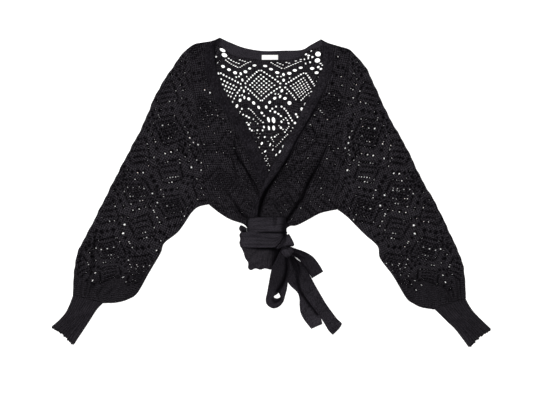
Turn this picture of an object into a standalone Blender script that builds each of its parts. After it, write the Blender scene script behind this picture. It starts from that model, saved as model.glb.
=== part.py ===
"""A wrap cardigan in openwork lace knit, laid flat with its ties knotted at the waist.

The garment lies on the floor plane, neck towards +Y, front upwards. Left and right are as
seen from above, so the sleeve at -X is the wearer's right sleeve. All tables and sizes are
in millimetres, from the middle of the laid-out garment, and become metres in finish().
"""

import math

import bmesh
import bpy
from mathutils import Vector
from mathutils.geometry import delaunay_2d_cdt

MM = 0.001

# Cloth
LACE = 2.0  # thickness of the lace panels
BAND = 2.2  # thickness of the fine knit bands and ties
SEAM = 0.3  # gap between neighbouring pieces
UPPER = LACE + SEAM  # height at which the upper layer lies on the lower one
LAP = 4.0  # how far the right front lies above the left one where it laps over
OUTLINE_STEP = 18.0
FINE_STEP = 6.0
GRID_STEP = 46.0

# Waist, where everything is gathered into the wraps
WAIST_X = -16.0
WAIST_Y = -58.0
WAIST_RISE = 17.0  # how high the gathered layers stand above the flat ones
WAIST_REACH_X = 58.0
WAIST_REACH_Y = 104.0
GATHERS = 26  # ripples on a full turn round the waist
GATHER_HEIGHT = 2.0
GATHER_FADE = 150.0
GATHER_RADII = (54.0, 74.0, 100.0, 132.0)

# Wraps of the tie round the waist
WRAP_WALL = 3.0
UPPER_WRAP_X = (-59.0, 30.0)
UPPER_WRAP_TOP = WAIST_Y
LOWER_WRAP_X = (-77.0, 38.0)
LOWER_WRAP_TOP = -94.0
LOWER_WRAP_END = -132.0
LOWER_WRAP_SWEEP = 34.0  # how far its lower edge sweeps up at the right
UPPER_WRAP_HEIGHT = 28.0
LOWER_WRAP_HEIGHT = 25.0
WRAP_ROUND = 2.4  # exponent of the arch
WRAP_POINTS = 20

# Lace chart: one repeat is 16 columns by 36 rows
COLUMN = 5.85
ROW = 4.4
REPEAT_COLUMNS = 16
REPEAT_ROWS = 36
EYELET_WIDTH = 8.0
EYELET_HEIGHT = 6.6
EYELET_MARGIN = 9.0  # least distance from an eyelet's middle to the panel's edge
# The largest eyelets of each repeat, as column and row from the middle of a diamond.
LARGEST_EYELETS = ((-4, 9), (4, 9), (-4, -9), (4, -9), (8, 5.5), (8, -5.5))

# Cuff ribs
CUFF_RIBS = 12
CUFF_HEIGHT = 5.0
CUFF_HOLLOW = 1.0
CUFF_EDGE = 0.06  # share of the width over which a cuff rounds down at its folded sides
CUFF_SIDE = 0.035  # wall at a folded side, as a share of the width
RIB_HEIGHT = 0.8

# Label and knot
LABEL_SIZE = (39.0, 11.5, 0.8)
LABEL_MIDDLE = (-3.5, 324.5)
KNOT_SIZE = (26.0, 25.0, 27.0)
KNOT_MIDDLE = (35.5, -140.7)

# Seams and edges, as x and y of the few points that a smooth curve runs through.
LEFT_SHOULDER = ((-152, 361), (-182, 357), (-201, 345))
LEFT_ARMHOLE = ((-201, 345), (-176, 160), (-150, -28))
LEFT_SLEEVE_OUTER = (
    (-201, 345), (-221, 323), (-273, 243), (-313, 152), (-365, 56), (-432, -77),
    (-466, -144), (-475, -202), (-476, -246),
)
LEFT_SLEEVE_INNER = (
    (-150, -28), (-175, -34), (-193, -49), (-224, -92), (-258, -120), (-267, -144),
    (-294, -190), (-322, -239), (-343, -254), (-371, -263), (-404, -265),
)
LEFT_HEM = ((-150, -28), (-136, -40), (-118, -53), (-97, -65), (-67, -75), (-60, -82))
RIGHT_SHOULDER = ((146, 354), (177, 347), (189, 342))
RIGHT_ARMHOLE = ((189, 342), (172, 150), (158, -40))
RIGHT_SLEEVE_OUTER = (
    (189, 342), (225, 302), (252, 246), (283, 179), (326, 103), (362, 30), (395, -27),
    (436, -113), (455, -157), (464, -196), (466, -253),
)
RIGHT_SLEEVE_INNER = (
    (158, -40), (182, -58), (206, -81), (228, -102), (256, -128), (262, -157),
    (293, -199), (324, -251), (343, -266), (361, -275), (390, -280),
)
RIGHT_HEM = ((158, -40), (124, -47), (107, -54), (91, -63), (61, -78), (44, -80), (31, -90))
NECK_TOP = (
    (-124, 370), (-98, 357), (-66, 345), (-18, 338), (30, 339), (72, 341), (94, 353), (119, 367),
)
NECK_LOW = (
    (-140, 364), (-120, 342), (-99, 328), (-66, 321), (-18, 318), (30, 318), (61, 321), (88, 330),
    (112, 347), (133, 360),
)

# Bands, a row for each section: inner x, inner y, outer x, outer y.
LEFT_BAND = (
    (-126, 369, -152, 361),
    (-134, 350, -158, 346),
    (-133, 313, -160, 313),
    (-126, 275, -152, 268),
    (-111, 243, -136, 229),
    (-82, 198, -106, 184),
    (-50, 146, -77, 134),
    (-24, 96, -54, 86),
    (-6, 52, -40, 46),
    (4, 22, -24, 18),
    (9, -10, -18, -12),
    (10, -58, -16, -58),
)
RIGHT_BAND = (
    (121, 366, 146, 354),
    (123, 324, 150, 328),
    (123, 302, 147, 300),
    (115, 283, 139, 275),
    (101, 249, 123, 238),
    (78, 208, 101, 195),
    (60, 168, 82, 157),
    (35, 126, 60, 116),
    (21, 93, 44, 88),
    (4, 70, 27, 64),
    (-9, 40, 7, 36),
    (-25, 8, -14, 8),
    (-36, -10, -25, -12),
    (-45, -34, -30, -34),
    (-51, -58, -31, -58),
)
BAND_STANDS = 6.0  # how far the right band stands above the front beside it

# Cuffs, a row for each section: outer x, outer y, inner x, inner y, bow towards the hand.
LEFT_CUFF = (
    (-476, -246, -404, -265, 0),
    (-485, -270, -419, -281, 0),
    (-495, -289, -435, -306, 0),
    (-511, -307, -451, -329, -3),
    (-527, -321, -472, -362, -7),
)
RIGHT_CUFF = (
    (466, -253, 390, -280, 0),
    (474, -271, 407, -293, 0),
    (484, -287, 424, -308, 0),
    (504, -308, 444, -327, -3),
    (527, -328, 475, -370, -7),
)

# Folds of the upper layer, a row each: start, middle and end point, height, half width.
FOLDS = (
    (126, 128, 86, 44, 28, -50, 6.0, 16),
    (154, 122, 115, 34, 54, -60, 5.0, 15),
    (-74, 120, -46, 62, -22, 0, 4.5, 13),
    (-102, 110, -71, 48, -44, -14, 4.5, 13),
    (-116, 98, -100, 40, -84, -6, 3.0, 12),
    (-97, -24, -80, -44, -66, -66, 3.0, 9),
    (168, 60, 130, 10, 74, -44, 3.0, 16),
    (-262, -20, -254, -66, -268, -116, 5.0, 16),
    (-418, -80, -428, -150, -442, -215, 4.5, 15),
    (-318, 118, -280, 140, -240, 136, 3.5, 16),
    (-352, 56, -312, 78, -272, 70, 3.5, 16),
    (-210, 250, -232, 180, -262, 110, 3.0, 18),
    (286, 226, 300, 140, 334, 62, 4.5, 18),
    (352, -20, 356, -100, 376, -176, 4.0, 16),
    (240, 210, 232, 120, 244, 30, 3.0, 18),
    (232, -70, 262, -60, 300, -84, 3.5, 14),
    (300, -110, 314, -160, 350, -220, 3.5, 14),
)
FOLD_PARTS = 5  # straight parts that a fold's curve is followed in
FOLD_START = 0.08  # share of its length at which a fold begins, so that it starts with some height

# Gathers above the cuffs, a row for each cuff: pivot x, pivot y, first and last angle in degrees.
CUFF_GATHERS = (
    (-452, -300, 62, 118),
    (440, -312, 70, 126),
)
CUFF_GATHER_COUNT = 5
CUFF_GATHER_START = 50.0
CUFF_GATHER_LENGTH = 62.0
CUFF_GATHER_SHORT = 0.75  # length of every other gather, as a share of the long ones
CUFF_GATHER_HEIGHT = 2.6
CUFF_GATHER_WIDTH = 7.0

# Gathered cloth inside the wraps, a row for each section: y, half width, height.
BUNDLE_NOSE = ((14, 12, 1.2), (0, 20, 4.5), (-30, 26, 9.5), (-57.8, 30, 12.5))
NOSE_LEAST = 0.4  # least thickness of the bundle's nose between its two sides
BUNDLE_FIT = 0.4  # clearance of the bundle inside its wraps
BUNDLE_STEP = 0.05  # half the length of the step where the bundle passes from one wrap to the other
BUNDLE_INSET = 5.0  # how far the bundle ends inside the lower wrap
BUNDLE_POINTS = 14

# Ties, a row for each section: x, y, width, height of the underside.
SHORT_TAIL = (
    (48.7, -142, 11, 9.0),
    (60, -144, 14, 8.0),
    (80, -149, 19, 3.0),
    (98, -164, 25, 0.0),
    (112, -197, 27, 0.0),
)
MIDDLE_TAIL = (
    (36.6, -153.7, 7, 0.0),
    (39.5, -165, 13, 0.0),
    (45.5, -178, 21, 0.0),
    (52, -193, 27, 0.0),
    (56, -212, 28, 0.0),
    (72, -240, 27, 0.0),
    (84, -270, 28, 0.0),
    (96, -296, 28, 0.0),
    (109, -320, 28, 0.0),
)
LONG_TAIL = (
    (44.5, -150.7, 10, 6.0),
    (52.5, -160, 13, 5.0),
    (67, -184, 23, 3.2),
    (84, -216, 27, 2.6),
    (102, -251, 28, 2.6),
    (120, -278, 28, 2.6),
    (136, -302, 28, 1.6),
    (160, -332, 28, 0.0),
)
LOOP_OUTLINE = (
    (23, -147.8), (8, -166), (1, -182), (-4, -214), (-10, -246), (-11, -262), (-5, -271), (6, -276),
    (18, -272), (28, -259), (34, -238), (35, -214), (33.5, -186), (31.5, -170), (30.4, -152.3),
)
LOOP_HOLE = ((3, -246), (11, -240), (19, -241), (24, -249), (20, -257), (10, -259), (3, -254))
LOOP_STRIP_EDGE = ((30, -157), (30, -198), (24, -221), (14, -240))
LOOP_STRIP_HEIGHT = 5.0
LOOP_STRIP_START = (-262, -244)  # y over which the crossing side rises
LOOP_EDGE_MARKS = (-4.0, 3.0)  # how far the points beside the crossing edge lie from it

HEM_TAIL_EDGE = (
    (-72, -132.5), (-67, -144), (-63, -157), (-56, -168), (-56, -181), (-49, -186), (-38, -182),
    (-27, -185), (-15, -182), (-4, -183), (0, -170), (6, -158), (19, -145),
)
HEM_TAIL_HEIGHT = (6.0, 15.0)  # at the free edge and at the wrap
HEM_TAIL_RIBS = 11
HEM_TAIL_RIB_HEIGHT = 1.6
HEM_TAIL_RIBBED = (-60.0, 4.0)  # from where to where in x the ribs go
HEM_TAIL_MARKS = (-178, -166, -152, -138)  # y of the points along each rib
SIDE_FOLD = ((-59.3, -85), (-67, -80), (-74, -78), (-78, -86), (-73, -93.9), (-59.3, -93.9))
SIDE_FOLD_HEIGHT = (8.0, 5.0)  # at the wraps and at its free edge
SIDE_FOLD_SLOPE = (-66, -77)  # x where it starts and stops sloping down
WRAP_END = ((39, -101), (43, -100), (55, -124), (48, -129), (36, -128), (24, -130))
WRAP_END_HEIGHT = (13.0, 8.0)  # at the knot and at its free corner
WRAP_END_SLOPE = (36, 54)

BLACK = (0.014, 0.013, 0.015)
BLACK_BAND = (0.018, 0.017, 0.019)
LABEL_WHITE = (0.75, 0.74, 0.72)


def clear_scene():
    """Remove everything that the opened file holds."""
    for item in list(bpy.data.objects):
        bpy.data.objects.remove(item, do_unlink=True)


def fade(value, start, end):
    """A smooth step from 0 at start to 1 at end, either of which may be the larger."""
    share = min(1.0, max(0.0, (value - start) / (end - start)))
    return share * share * (3.0 - 2.0 * share)


def curve(points, step=OUTLINE_STEP):
    """Points about a step apart on a smooth curve through the given ones."""
    given = [Vector(point) for point in points]
    result = [given[0]]
    for i in range(len(given) - 1):
        before = given[max(i - 1, 0)]
        start, end = given[i], given[i + 1]
        after = given[min(i + 2, len(given) - 1)]
        parts = max(1, round((end - start).length / step))
        for k in range(1, parts + 1):
            t = k / parts
            pull = (end - before) * 0.5
            push = (after - start) * 0.5
            bend = start * 2 - end * 2 + pull + push
            rest = end * 3 - start * 3 - pull * 2 - push
            result.append(start + pull * t + rest * t * t + bend * t ** 3)
    return result


def line(start, end, step=OUTLINE_STEP):
    """Points about a step apart on a straight line."""
    start, end = Vector(start), Vector(end)
    parts = max(1, round((end - start).length / step))
    return [start.lerp(end, k / parts) for k in range(parts + 1)]


def joined(*edges):
    """One closed outline from edges that follow each other, without doubled points."""
    outline = []
    for edge in edges:
        for point in edge:
            if not outline or (point - outline[-1]).length > SEAM:
                outline.append(point)
    if (outline[0] - outline[-1]).length <= SEAM:
        outline.pop()
    return outline


def area_of(outline):
    """The signed area of a closed outline."""
    total = 0.0
    for i, here in enumerate(outline):
        total += outline[i - 1].x * here.y - here.x * outline[i - 1].y
    return total / 2


def inset(outline, distance):
    """The outline moved inwards, so that neighbours on one seam stay apart."""
    turn = 1.0 if area_of(outline) > 0 else -1.0
    result = []
    for i, here in enumerate(outline):
        into = (here - outline[i - 1]).normalized()
        out = (outline[(i + 1) % len(outline)] - here).normalized()
        across = Vector((-into.y - out.y, into.x + out.x)) * turn
        if across.length < 0.2:
            across = Vector((-into.y, into.x)) * turn * 2
        reach = max(across.length / 2, 0.6)
        result.append(here + across.normalized() * distance / reach)
    return result


def segment_distance(point, start, end):
    """The distance from a point to a straight part, and how far along it that is."""
    along = end - start
    share = (point - start).dot(along) / max(along.length_squared, 1e-9)
    share = min(1.0, max(0.0, share))
    return (point - start - along * share).length, share


def edge_distance(point, outline):
    """The distance from a point to the nearest side of an outline."""
    return min(segment_distance(point, outline[i - 1], here)[0] for i, here in enumerate(outline))


def is_inside(point, outline):
    """Whether a point lies inside a closed outline."""
    inside = False
    for i, here in enumerate(outline):
        before = outline[i - 1]
        if (here.y > point.y) != (before.y > point.y):
            crossing = before.x + (here.x - before.x) * (point.y - before.y) / (here.y - before.y)
            if point.x < crossing:
                inside = not inside
    return inside


def fold_path(fold):
    """A fold's curve as straight parts, from its start, middle and end point."""
    start, middle, end = Vector(fold[0:2]), Vector(fold[2:4]), Vector(fold[4:6])
    handle = middle * 2 - (start + end) / 2
    path = []
    for k in range(FOLD_PARTS + 1):
        t = k / FOLD_PARTS
        path.append(start * (1 - t) ** 2 + handle * 2 * t * (1 - t) + end * t * t)
    return path


def cuff_gather_folds():
    """The short folds that spread from each cuff into the full sleeve, as rows like FOLDS."""
    rows = []
    for pivot_x, pivot_y, first, last in CUFF_GATHERS:
        for k in range(CUFF_GATHER_COUNT):
            angle = math.radians(first + (last - first) * k / (CUFF_GATHER_COUNT - 1))
            along = Vector((math.cos(angle), math.sin(angle)))
            start = Vector((pivot_x, pivot_y)) + along * CUFF_GATHER_START
            length = CUFF_GATHER_LENGTH * (1.0 if k % 2 else CUFF_GATHER_SHORT)
            middle, end = start + along * length / 2, start + along * length
            rows.append((*start, *middle, *end, CUFF_GATHER_HEIGHT, CUFF_GATHER_WIDTH))
    return tuple(rows)


ALL_FOLDS = tuple((fold_path(fold), fold[6], fold[7]) for fold in FOLDS + cuff_gather_folds())


def fold_height(x, y):
    """How high the folds stand at a point of the upper layer."""
    point = Vector((x, y))
    total = 0.0
    for path, height, half_width in ALL_FOLDS:
        nearest, along = 1e9, 0.0
        for k in range(FOLD_PARTS):
            distance, share = segment_distance(point, path[k], path[k + 1])
            if distance < nearest:
                nearest, along = distance, (k + share) / FOLD_PARTS
        if nearest < half_width:
            across = math.cos(math.pi / 2 * nearest / half_width) ** 2
            place = FOLD_START + along * (1.0 - FOLD_START)
            total += height * across * max(0.0, math.sin(math.pi * place)) ** 0.5
    return total


def waist_height(x, y):
    """How high the upper layer rises towards the wraps, with its gathers."""
    away_x = (x - WAIST_X) / WAIST_REACH_X
    away_y = max(0.0, y - WAIST_Y) / WAIST_REACH_Y
    rise = WAIST_RISE * max(0.0, 1.0 - away_x ** 2 - away_y ** 2) ** 2
    radius = math.hypot(x - WAIST_X, y - WAIST_Y)
    angle = math.atan2(y - WAIST_Y, x - WAIST_X)
    ripple = 0.5 + 0.5 * math.cos(GATHERS * angle)
    return rise + GATHER_HEIGHT * ripple * fade(radius, GATHER_FADE, GATHER_RADII[0])


def upper_height(x, y):
    """Underside of the upper layer, left of where the right front laps over."""
    return UPPER + waist_height(x, y) + fold_height(x, y)


def lap_height(x, y):
    """Underside of the right front, which lies above the left one where they cross."""
    return upper_height(x, y) + LAP * fade(x, 46, 16) * fade(y, 96, 62)


def band_height(x, y):
    """Underside of the right band, which stands above the front towards the knot."""
    return lap_height(x, y) + BAND_STANDS * fade(y, 150, 50) * fade(y, WAIST_Y, 0)


def flat(height):
    """A height that is the same everywhere."""
    return lambda x, y: height


def sloped(heights, across):
    """A height that goes from the first to the second value between two places in x."""
    first, last = heights
    return lambda x, y: first + (last - first) * fade(x, *across)


def material(name, colour, roughness):
    """A plain Principled material."""
    made = bpy.data.materials.new(name)
    made.use_nodes = True
    shader = made.node_tree.nodes["Principled BSDF"]
    shader.inputs["Base Color"].default_value = (*colour, 1.0)
    shader.inputs["Roughness"].default_value = roughness
    shader.inputs["Metallic"].default_value = 0.0
    return made


def finish(bm, name, colour=BLACK, roughness=0.85):
    """Turn a mesh in millimetres into a named object in metres."""
    bmesh.ops.remove_doubles(bm, verts=bm.verts, dist=0.0001)
    bmesh.ops.recalc_face_normals(bm, faces=bm.faces)
    bmesh.ops.scale(bm, verts=bm.verts, vec=(MM, MM, MM))
    mesh = bpy.data.meshes.new(name)
    bm.to_mesh(mesh)
    bm.free()
    mesh.shade_smooth()
    mesh.set_sharp_from_angle(angle=math.radians(40))
    made = bpy.data.objects.new(name, mesh)
    bpy.context.collection.objects.link(made)
    mesh.materials.append(material(name, colour, roughness))
    return made


def eyelets(outline, origin, turn):
    """The largest eyelets of each repeat that lie clear of a panel's edge, as outlines."""
    radians = math.radians(turn)
    right = Vector((math.cos(radians), math.sin(radians)))
    up = Vector((-right.y, right.x))
    found = []
    for repeat_x in range(-7, 8):
        for repeat_y in range(-5, 6):
            for column, row in LARGEST_EYELETS:
                across = (repeat_x * REPEAT_COLUMNS + column) * COLUMN
                along = (repeat_y * REPEAT_ROWS + row) * ROW
                middle = Vector(origin) + right * across + up * along
                if is_inside(middle, outline) and edge_distance(middle, outline) > EYELET_MARGIN:
                    corners = []
                    for k in range(6):
                        angle = math.tau * k / 6
                        out = right * math.cos(angle) * EYELET_WIDTH / 2
                        corners.append(middle + out + up * math.sin(angle) * EYELET_HEIGHT / 2)
                    found.append(corners)
    return found


def inner_points(outline, holes, marks):
    """Points inside a panel that has folds: the marks they need, and an even grid."""
    xs = [point.x for point in outline]
    ys = [point.y for point in outline]
    candidates = list(marks)
    rows = math.ceil((max(ys) - min(ys)) / (GRID_STEP * 0.87)) if marks else -1
    for r in range(rows + 1):
        y = min(ys) + r * GRID_STEP * 0.87
        for c in range(math.ceil((max(xs) - min(xs)) / GRID_STEP) + 1):
            candidates.append(Vector((min(xs) + (c + 0.5 * (r % 2)) * GRID_STEP, y)))
    middles = [sum(hole, Vector((0, 0))) / len(hole) for hole in holes]
    kept = []
    for point in candidates:
        if not is_inside(point, outline) or edge_distance(point, outline) < 3.5:
            continue
        if any((point - middle).length < EYELET_WIDTH * 0.8 for middle in middles):
            continue
        if all((point - other).length > 4.5 for other in kept):
            kept.append(point)
    return kept


def fold_marks():
    """Points on and beside every fold, and round the waist where the gathers start."""
    marks = []
    for path, _, half_width in ALL_FOLDS:
        for k in range(FOLD_PARTS + 1):
            along = (path[min(k + 1, FOLD_PARTS)] - path[max(k - 1, 0)]).normalized()
            across = Vector((-along.y, along.x))
            for share in (0.0, -0.8, 0.8):
                marks.append(path[k] + across * half_width * share)
    for k in range(GATHERS * 2):
        angle = math.pi * k / GATHERS
        for radius in GATHER_RADII:
            marks.append(Vector((WAIST_X + radius * math.cos(angle), WAIST_Y + radius * math.sin(angle))))
    return marks


def panel(name, outline, underside, thickness, holes=(), marks=(), colour=BLACK, top=None):
    """A wall of cloth: the outline meshed flat, lifted to its underside and thickened.

    With a top function the wall is a solid between its underside and that surface.
    """
    outline = inset(outline, SEAM / 2)
    points = inner_points(outline, holes, marks)
    flat_points, sides, ring_of = list(outline), [], [-1] * len(outline)
    sides += [(k, (k + 1) % len(outline)) for k in range(len(outline))]
    for number, hole in enumerate(holes):
        first = len(flat_points)
        sides += [(first + k, first + (k + 1) % len(hole)) for k in range(len(hole))]
        flat_points += hole
        ring_of += [number] * len(hole)
    flat_points += points
    ring_of += [-1] * len(points)
    made, _, faces, origins, _, _ = delaunay_2d_cdt(flat_points, sides, [], 1, 1e-5, True)
    ring = [ring_of[origin[0]] if origin else -1 for origin in origins]
    bm = bmesh.new()
    for point in made:
        bm.verts.new((point.x, point.y, 0.0))
    bm.verts.ensure_lookup_table()
    for face in faces:
        rings = {ring[k] for k in face}
        middle = sum((made[k] for k in face), Vector((0, 0))) / len(face)
        if (len(rings) > 1 or -1 in rings) and is_inside(middle, outline):
            bm.faces.new([bm.verts[k] for k in face])
    loose = [vert for vert in bm.verts if not vert.link_faces]
    bmesh.ops.delete(bm, geom=loose, context="VERTS")
    copied = bmesh.ops.extrude_face_region(bm, geom=list(bm.faces), use_keep_orig=True)
    raised = {item for item in copied["geom"] if isinstance(item, bmesh.types.BMVert)}
    for vert in bm.verts:
        x, y, _ = vert.co
        low = underside(x, y)
        if vert in raised:
            low = top(x, y) if top else low + thickness
        vert.co.z = low
    return finish(bm, name, colour)


def ring_wall(name, sections, colour=BLACK):
    """A tube wall from sections, each an outer and an inner ring of as many points."""
    bm = bmesh.new()
    outer = [[bm.verts.new(point) for point in section[0]] for section in sections]
    inner = [[bm.verts.new(point) for point in section[1]] for section in sections]
    count = len(outer[0])
    for k in range(count):
        after = (k + 1) % count
        for s in range(len(sections) - 1):
            bm.faces.new((outer[s][k], outer[s][after], outer[s + 1][after], outer[s + 1][k]))
            bm.faces.new((inner[s][after], inner[s][k], inner[s + 1][k], inner[s + 1][after]))
        bm.faces.new((outer[0][after], outer[0][k], inner[0][k], inner[0][after]))
        bm.faces.new((outer[-1][k], outer[-1][after], inner[-1][after], inner[-1][k]))
    return finish(bm, name, colour)


def arch(middle, half_width, height, floor, count=WRAP_POINTS):
    """A flat-bottomed arch as x and z, going round once from its right foot."""
    points = []
    for k in range(count + 1):
        angle = math.pi * k / count
        x = math.copysign(abs(math.cos(angle)) ** (2 / WRAP_ROUND), math.cos(angle))
        z = math.sin(angle) ** (2 / WRAP_ROUND)
        points.append((middle + half_width * x, floor + (height - floor) * max(z, 0.0)))
    for k in range(1, count):
        points.append((middle - half_width + 2 * half_width * k / count, floor))
    return points


def sweep_end(x):
    """The y of the lower wrap's lower edge, which sweeps up at the right."""
    return LOWER_WRAP_END + LOWER_WRAP_SWEEP * fade(x, 0.0, LOWER_WRAP_X[1]) ** 1.5


def wrap(name, span, top, end, height):
    """One wrap of the tie: a flat-bottomed tube round the gathered waist."""
    middle, half_width = sum(span) / 2, (span[1] - span[0]) / 2
    outside = arch(middle, half_width, height, 0.0)
    inside = arch(middle, half_width - WRAP_WALL, height - WRAP_WALL, LACE)
    sections = []
    for share in (0.0, 0.15, 0.85, 1.0):
        roll = 0.6 if share in (0.0, 1.0) else 0.0
        outer = []
        for x, z in outside:
            lower = z - roll if z > 3.0 else z
            outer.append((x, top(x) + (end(x) - top(x)) * share, lower))
        inner = [(x, top(x) + (end(x) - top(x)) * share, z) for x, z in inside]
        sections.append((outer, inner))
    return ring_wall(name, sections, BLACK_BAND)


def make_wraps():
    """The two wraps, the upper one straight and the lower one swept up at the right."""
    gap = SEAM / 2
    wrap(
        "wrap_upper", UPPER_WRAP_X, lambda x: UPPER_WRAP_TOP - gap, lambda x: LOWER_WRAP_TOP + gap,
        UPPER_WRAP_HEIGHT,
    )
    wrap(
        "wrap_lower", LOWER_WRAP_X, lambda x: LOWER_WRAP_TOP - gap, lambda x: sweep_end(x) + gap,
        LOWER_WRAP_HEIGHT,
    )


def nose_ring(y, half_width, height):
    """One ring of the bundle's nose, which shows between the bands above the wraps."""
    ring = []
    for k in range(BUNDLE_POINTS + 1):
        side = math.cos(math.pi * k / BUNDLE_POINTS)
        lift = 0.0 if k in (0, BUNDLE_POINTS) else max(NOSE_LEAST, height * (1 - side * side))
        ring.append((WAIST_X + half_width * side, y, UPPER + lift))
    for k in range(1, BUNDLE_POINTS):
        ring.append((WAIST_X + half_width * (2 * k / BUNDLE_POINTS - 1), y, UPPER))
    return ring


def bundle_end(x):
    """The y at which the bundle ends inside the lower wrap."""
    return sweep_end(x) + BUNDLE_INSET


def make_bundle():
    """The gathered layers that the wraps hold, as one rounded solid."""
    rows = [nose_ring(*row) for row in BUNDLE_NOSE]
    spare = WRAP_WALL + BUNDLE_FIT
    joint = LOWER_WRAP_TOP
    for span, height, start, end in (
        (UPPER_WRAP_X, UPPER_WRAP_HEIGHT, lambda x: WAIST_Y - BUNDLE_FIT, lambda x: joint + BUNDLE_STEP),
        (LOWER_WRAP_X, LOWER_WRAP_HEIGHT, lambda x: joint - BUNDLE_STEP, bundle_end),
    ):
        half_width = (span[1] - span[0]) / 2 - spare
        points = arch(sum(span) / 2, half_width, height - spare, UPPER, BUNDLE_POINTS)
        rows.append([(x, start(x), z) for x, z in points])
        rows.append([(x, end(x), z) for x, z in points])
    bm = bmesh.new()
    rings = [[bm.verts.new(point) for point in row] for row in rows]
    count = len(rings[0])
    for before, after in zip(rings, rings[1:]):
        for k in range(count):
            following = (k + 1) % count
            bm.faces.new((before[k], before[following], after[following], after[k]))
    bm.faces.new(rings[0])
    bm.faces.new(rings[-1])
    bmesh.ops.triangulate(bm, faces=[face for face in bm.faces if len(face.verts) > 4])
    finish(bm, "waist_gather")


def cuff_section(row, clear):
    """The outer and the inner ring of a cuff at one row of its table, moved by clear."""
    outer_x, outer_y, inner_x, inner_y, bow = row
    start = Vector((outer_x, outer_y)) + clear
    across = Vector((inner_x, inner_y)) + clear - start
    count = CUFF_RIBS * 2
    outside, inside = [], []
    for k in range(count * 2):
        upper = k <= count
        share = k / count if upper else 2.0 - k / count
        bowed = Vector((0, -bow * math.sin(math.pi * share)))
        edge = fade(min(share, 1.0 - share), 0.0, CUFF_EDGE)
        rib = RIB_HEIGHT if k % 2 else 0.0
        top = CUFF_HEIGHT * (0.5 + 0.5 * edge) + rib * edge
        place = start + across * share + bowed
        outside.append((place.x, place.y, top if upper else 0.0))
        spot = start + across * (CUFF_SIDE + (1.0 - 2 * CUFF_SIDE) * share) + bowed
        half_hollow = CUFF_HOLLOW / 2 * edge
        inside.append((spot.x, spot.y, CUFF_HEIGHT / 2 + (half_hollow if upper else -half_hollow)))
    return outside, inside


def make_cuff(name, table):
    """A ribbed flat tube: ribs raised outside, plain inside and under."""
    towards_hand = Vector(table[1][0:2]) - Vector(table[0][0:2])
    clear = towards_hand.normalized() * SEAM
    sections = [cuff_section(table[0], clear)]
    sections += [cuff_section(row, Vector((0, 0))) for row in table[1:]]
    return ring_wall(name, sections)


def band_outline(table, step=OUTLINE_STEP):
    """A band's closed outline from its sections."""
    inner = curve([row[0:2] for row in table], step)
    outer = curve([row[2:4] for row in table], step)
    return joined(inner, list(reversed(outer)))


def outer_edge(table):
    """A band's outer edge, from the shoulder to the wraps."""
    return curve([row[2:4] for row in table])


def sleeve_outline(armhole, outer, inner, cuff):
    """A sleeve's outline: armhole, folded outer edge, cuff seam and under edge."""
    cuff_line = line(cuff[0][0:2], cuff[0][2:4], FINE_STEP * 1.5)
    return joined(
        curve(armhole), curve(inner), list(reversed(cuff_line)), list(reversed(curve(outer))),
    )


def make_sleeves(marks):
    """Both sleeves, each an under and an upper panel that lie on each other."""
    sides = (
        ("left", LEFT_ARMHOLE, LEFT_SLEEVE_OUTER, LEFT_SLEEVE_INNER, LEFT_CUFF, (-300, 60), -28),
        ("right", RIGHT_ARMHOLE, RIGHT_SLEEVE_OUTER, RIGHT_SLEEVE_INNER, RIGHT_CUFF, (296, 52), 28),
    )
    for side, armhole, outer, inner, cuff, origin, turn in sides:
        outline = sleeve_outline(armhole, outer, inner, cuff)
        holes = eyelets(outline, origin, turn)
        panel(f"sleeve_{side}_under", outline, flat(0.0), LACE, holes)
        panel(f"sleeve_{side}_over", outline, upper_height, LACE, holes, marks)
        make_cuff(f"cuff_{side}", cuff)


def make_back():
    """The back panel, the band round the back neck and the blank label on it."""
    right_low = list(NECK_LOW[-1])
    outline = joined(
        curve((NECK_LOW[0], *LEFT_SHOULDER[1:])),
        curve(LEFT_ARMHOLE),
        curve(LEFT_HEM),
        line((UPPER_WRAP_X[0], -82), (UPPER_WRAP_X[0], WAIST_Y)),
        line((UPPER_WRAP_X[0], WAIST_Y), (UPPER_WRAP_X[1], WAIST_Y), 30),
        line((UPPER_WRAP_X[1], WAIST_Y), RIGHT_HEM[-1]),
        list(reversed(curve(RIGHT_HEM))),
        list(reversed(curve(RIGHT_ARMHOLE))),
        list(reversed(curve((right_low, *RIGHT_SHOULDER[1:])))),
        list(reversed(curve(NECK_LOW))),
    )
    panel("back_panel", outline, flat(0.0), LACE, eyelets(outline, (-23.5, 258.5), 0))
    neck = joined(curve(NECK_TOP), list(reversed(curve(NECK_LOW))))
    panel("neck_band", neck, flat(0.0), BAND, colour=BLACK_BAND)
    bm = bmesh.new()
    bmesh.ops.create_cube(bm, size=1.0)
    bmesh.ops.scale(bm, verts=bm.verts, vec=LABEL_SIZE)
    lifted = BAND + SEAM + LABEL_SIZE[2] / 2
    bmesh.ops.translate(bm, verts=bm.verts, vec=(*LABEL_MIDDLE, lifted))
    bmesh.ops.triangulate(bm, faces=bm.faces)
    finish(bm, "label", LABEL_WHITE, 0.7)


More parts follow.
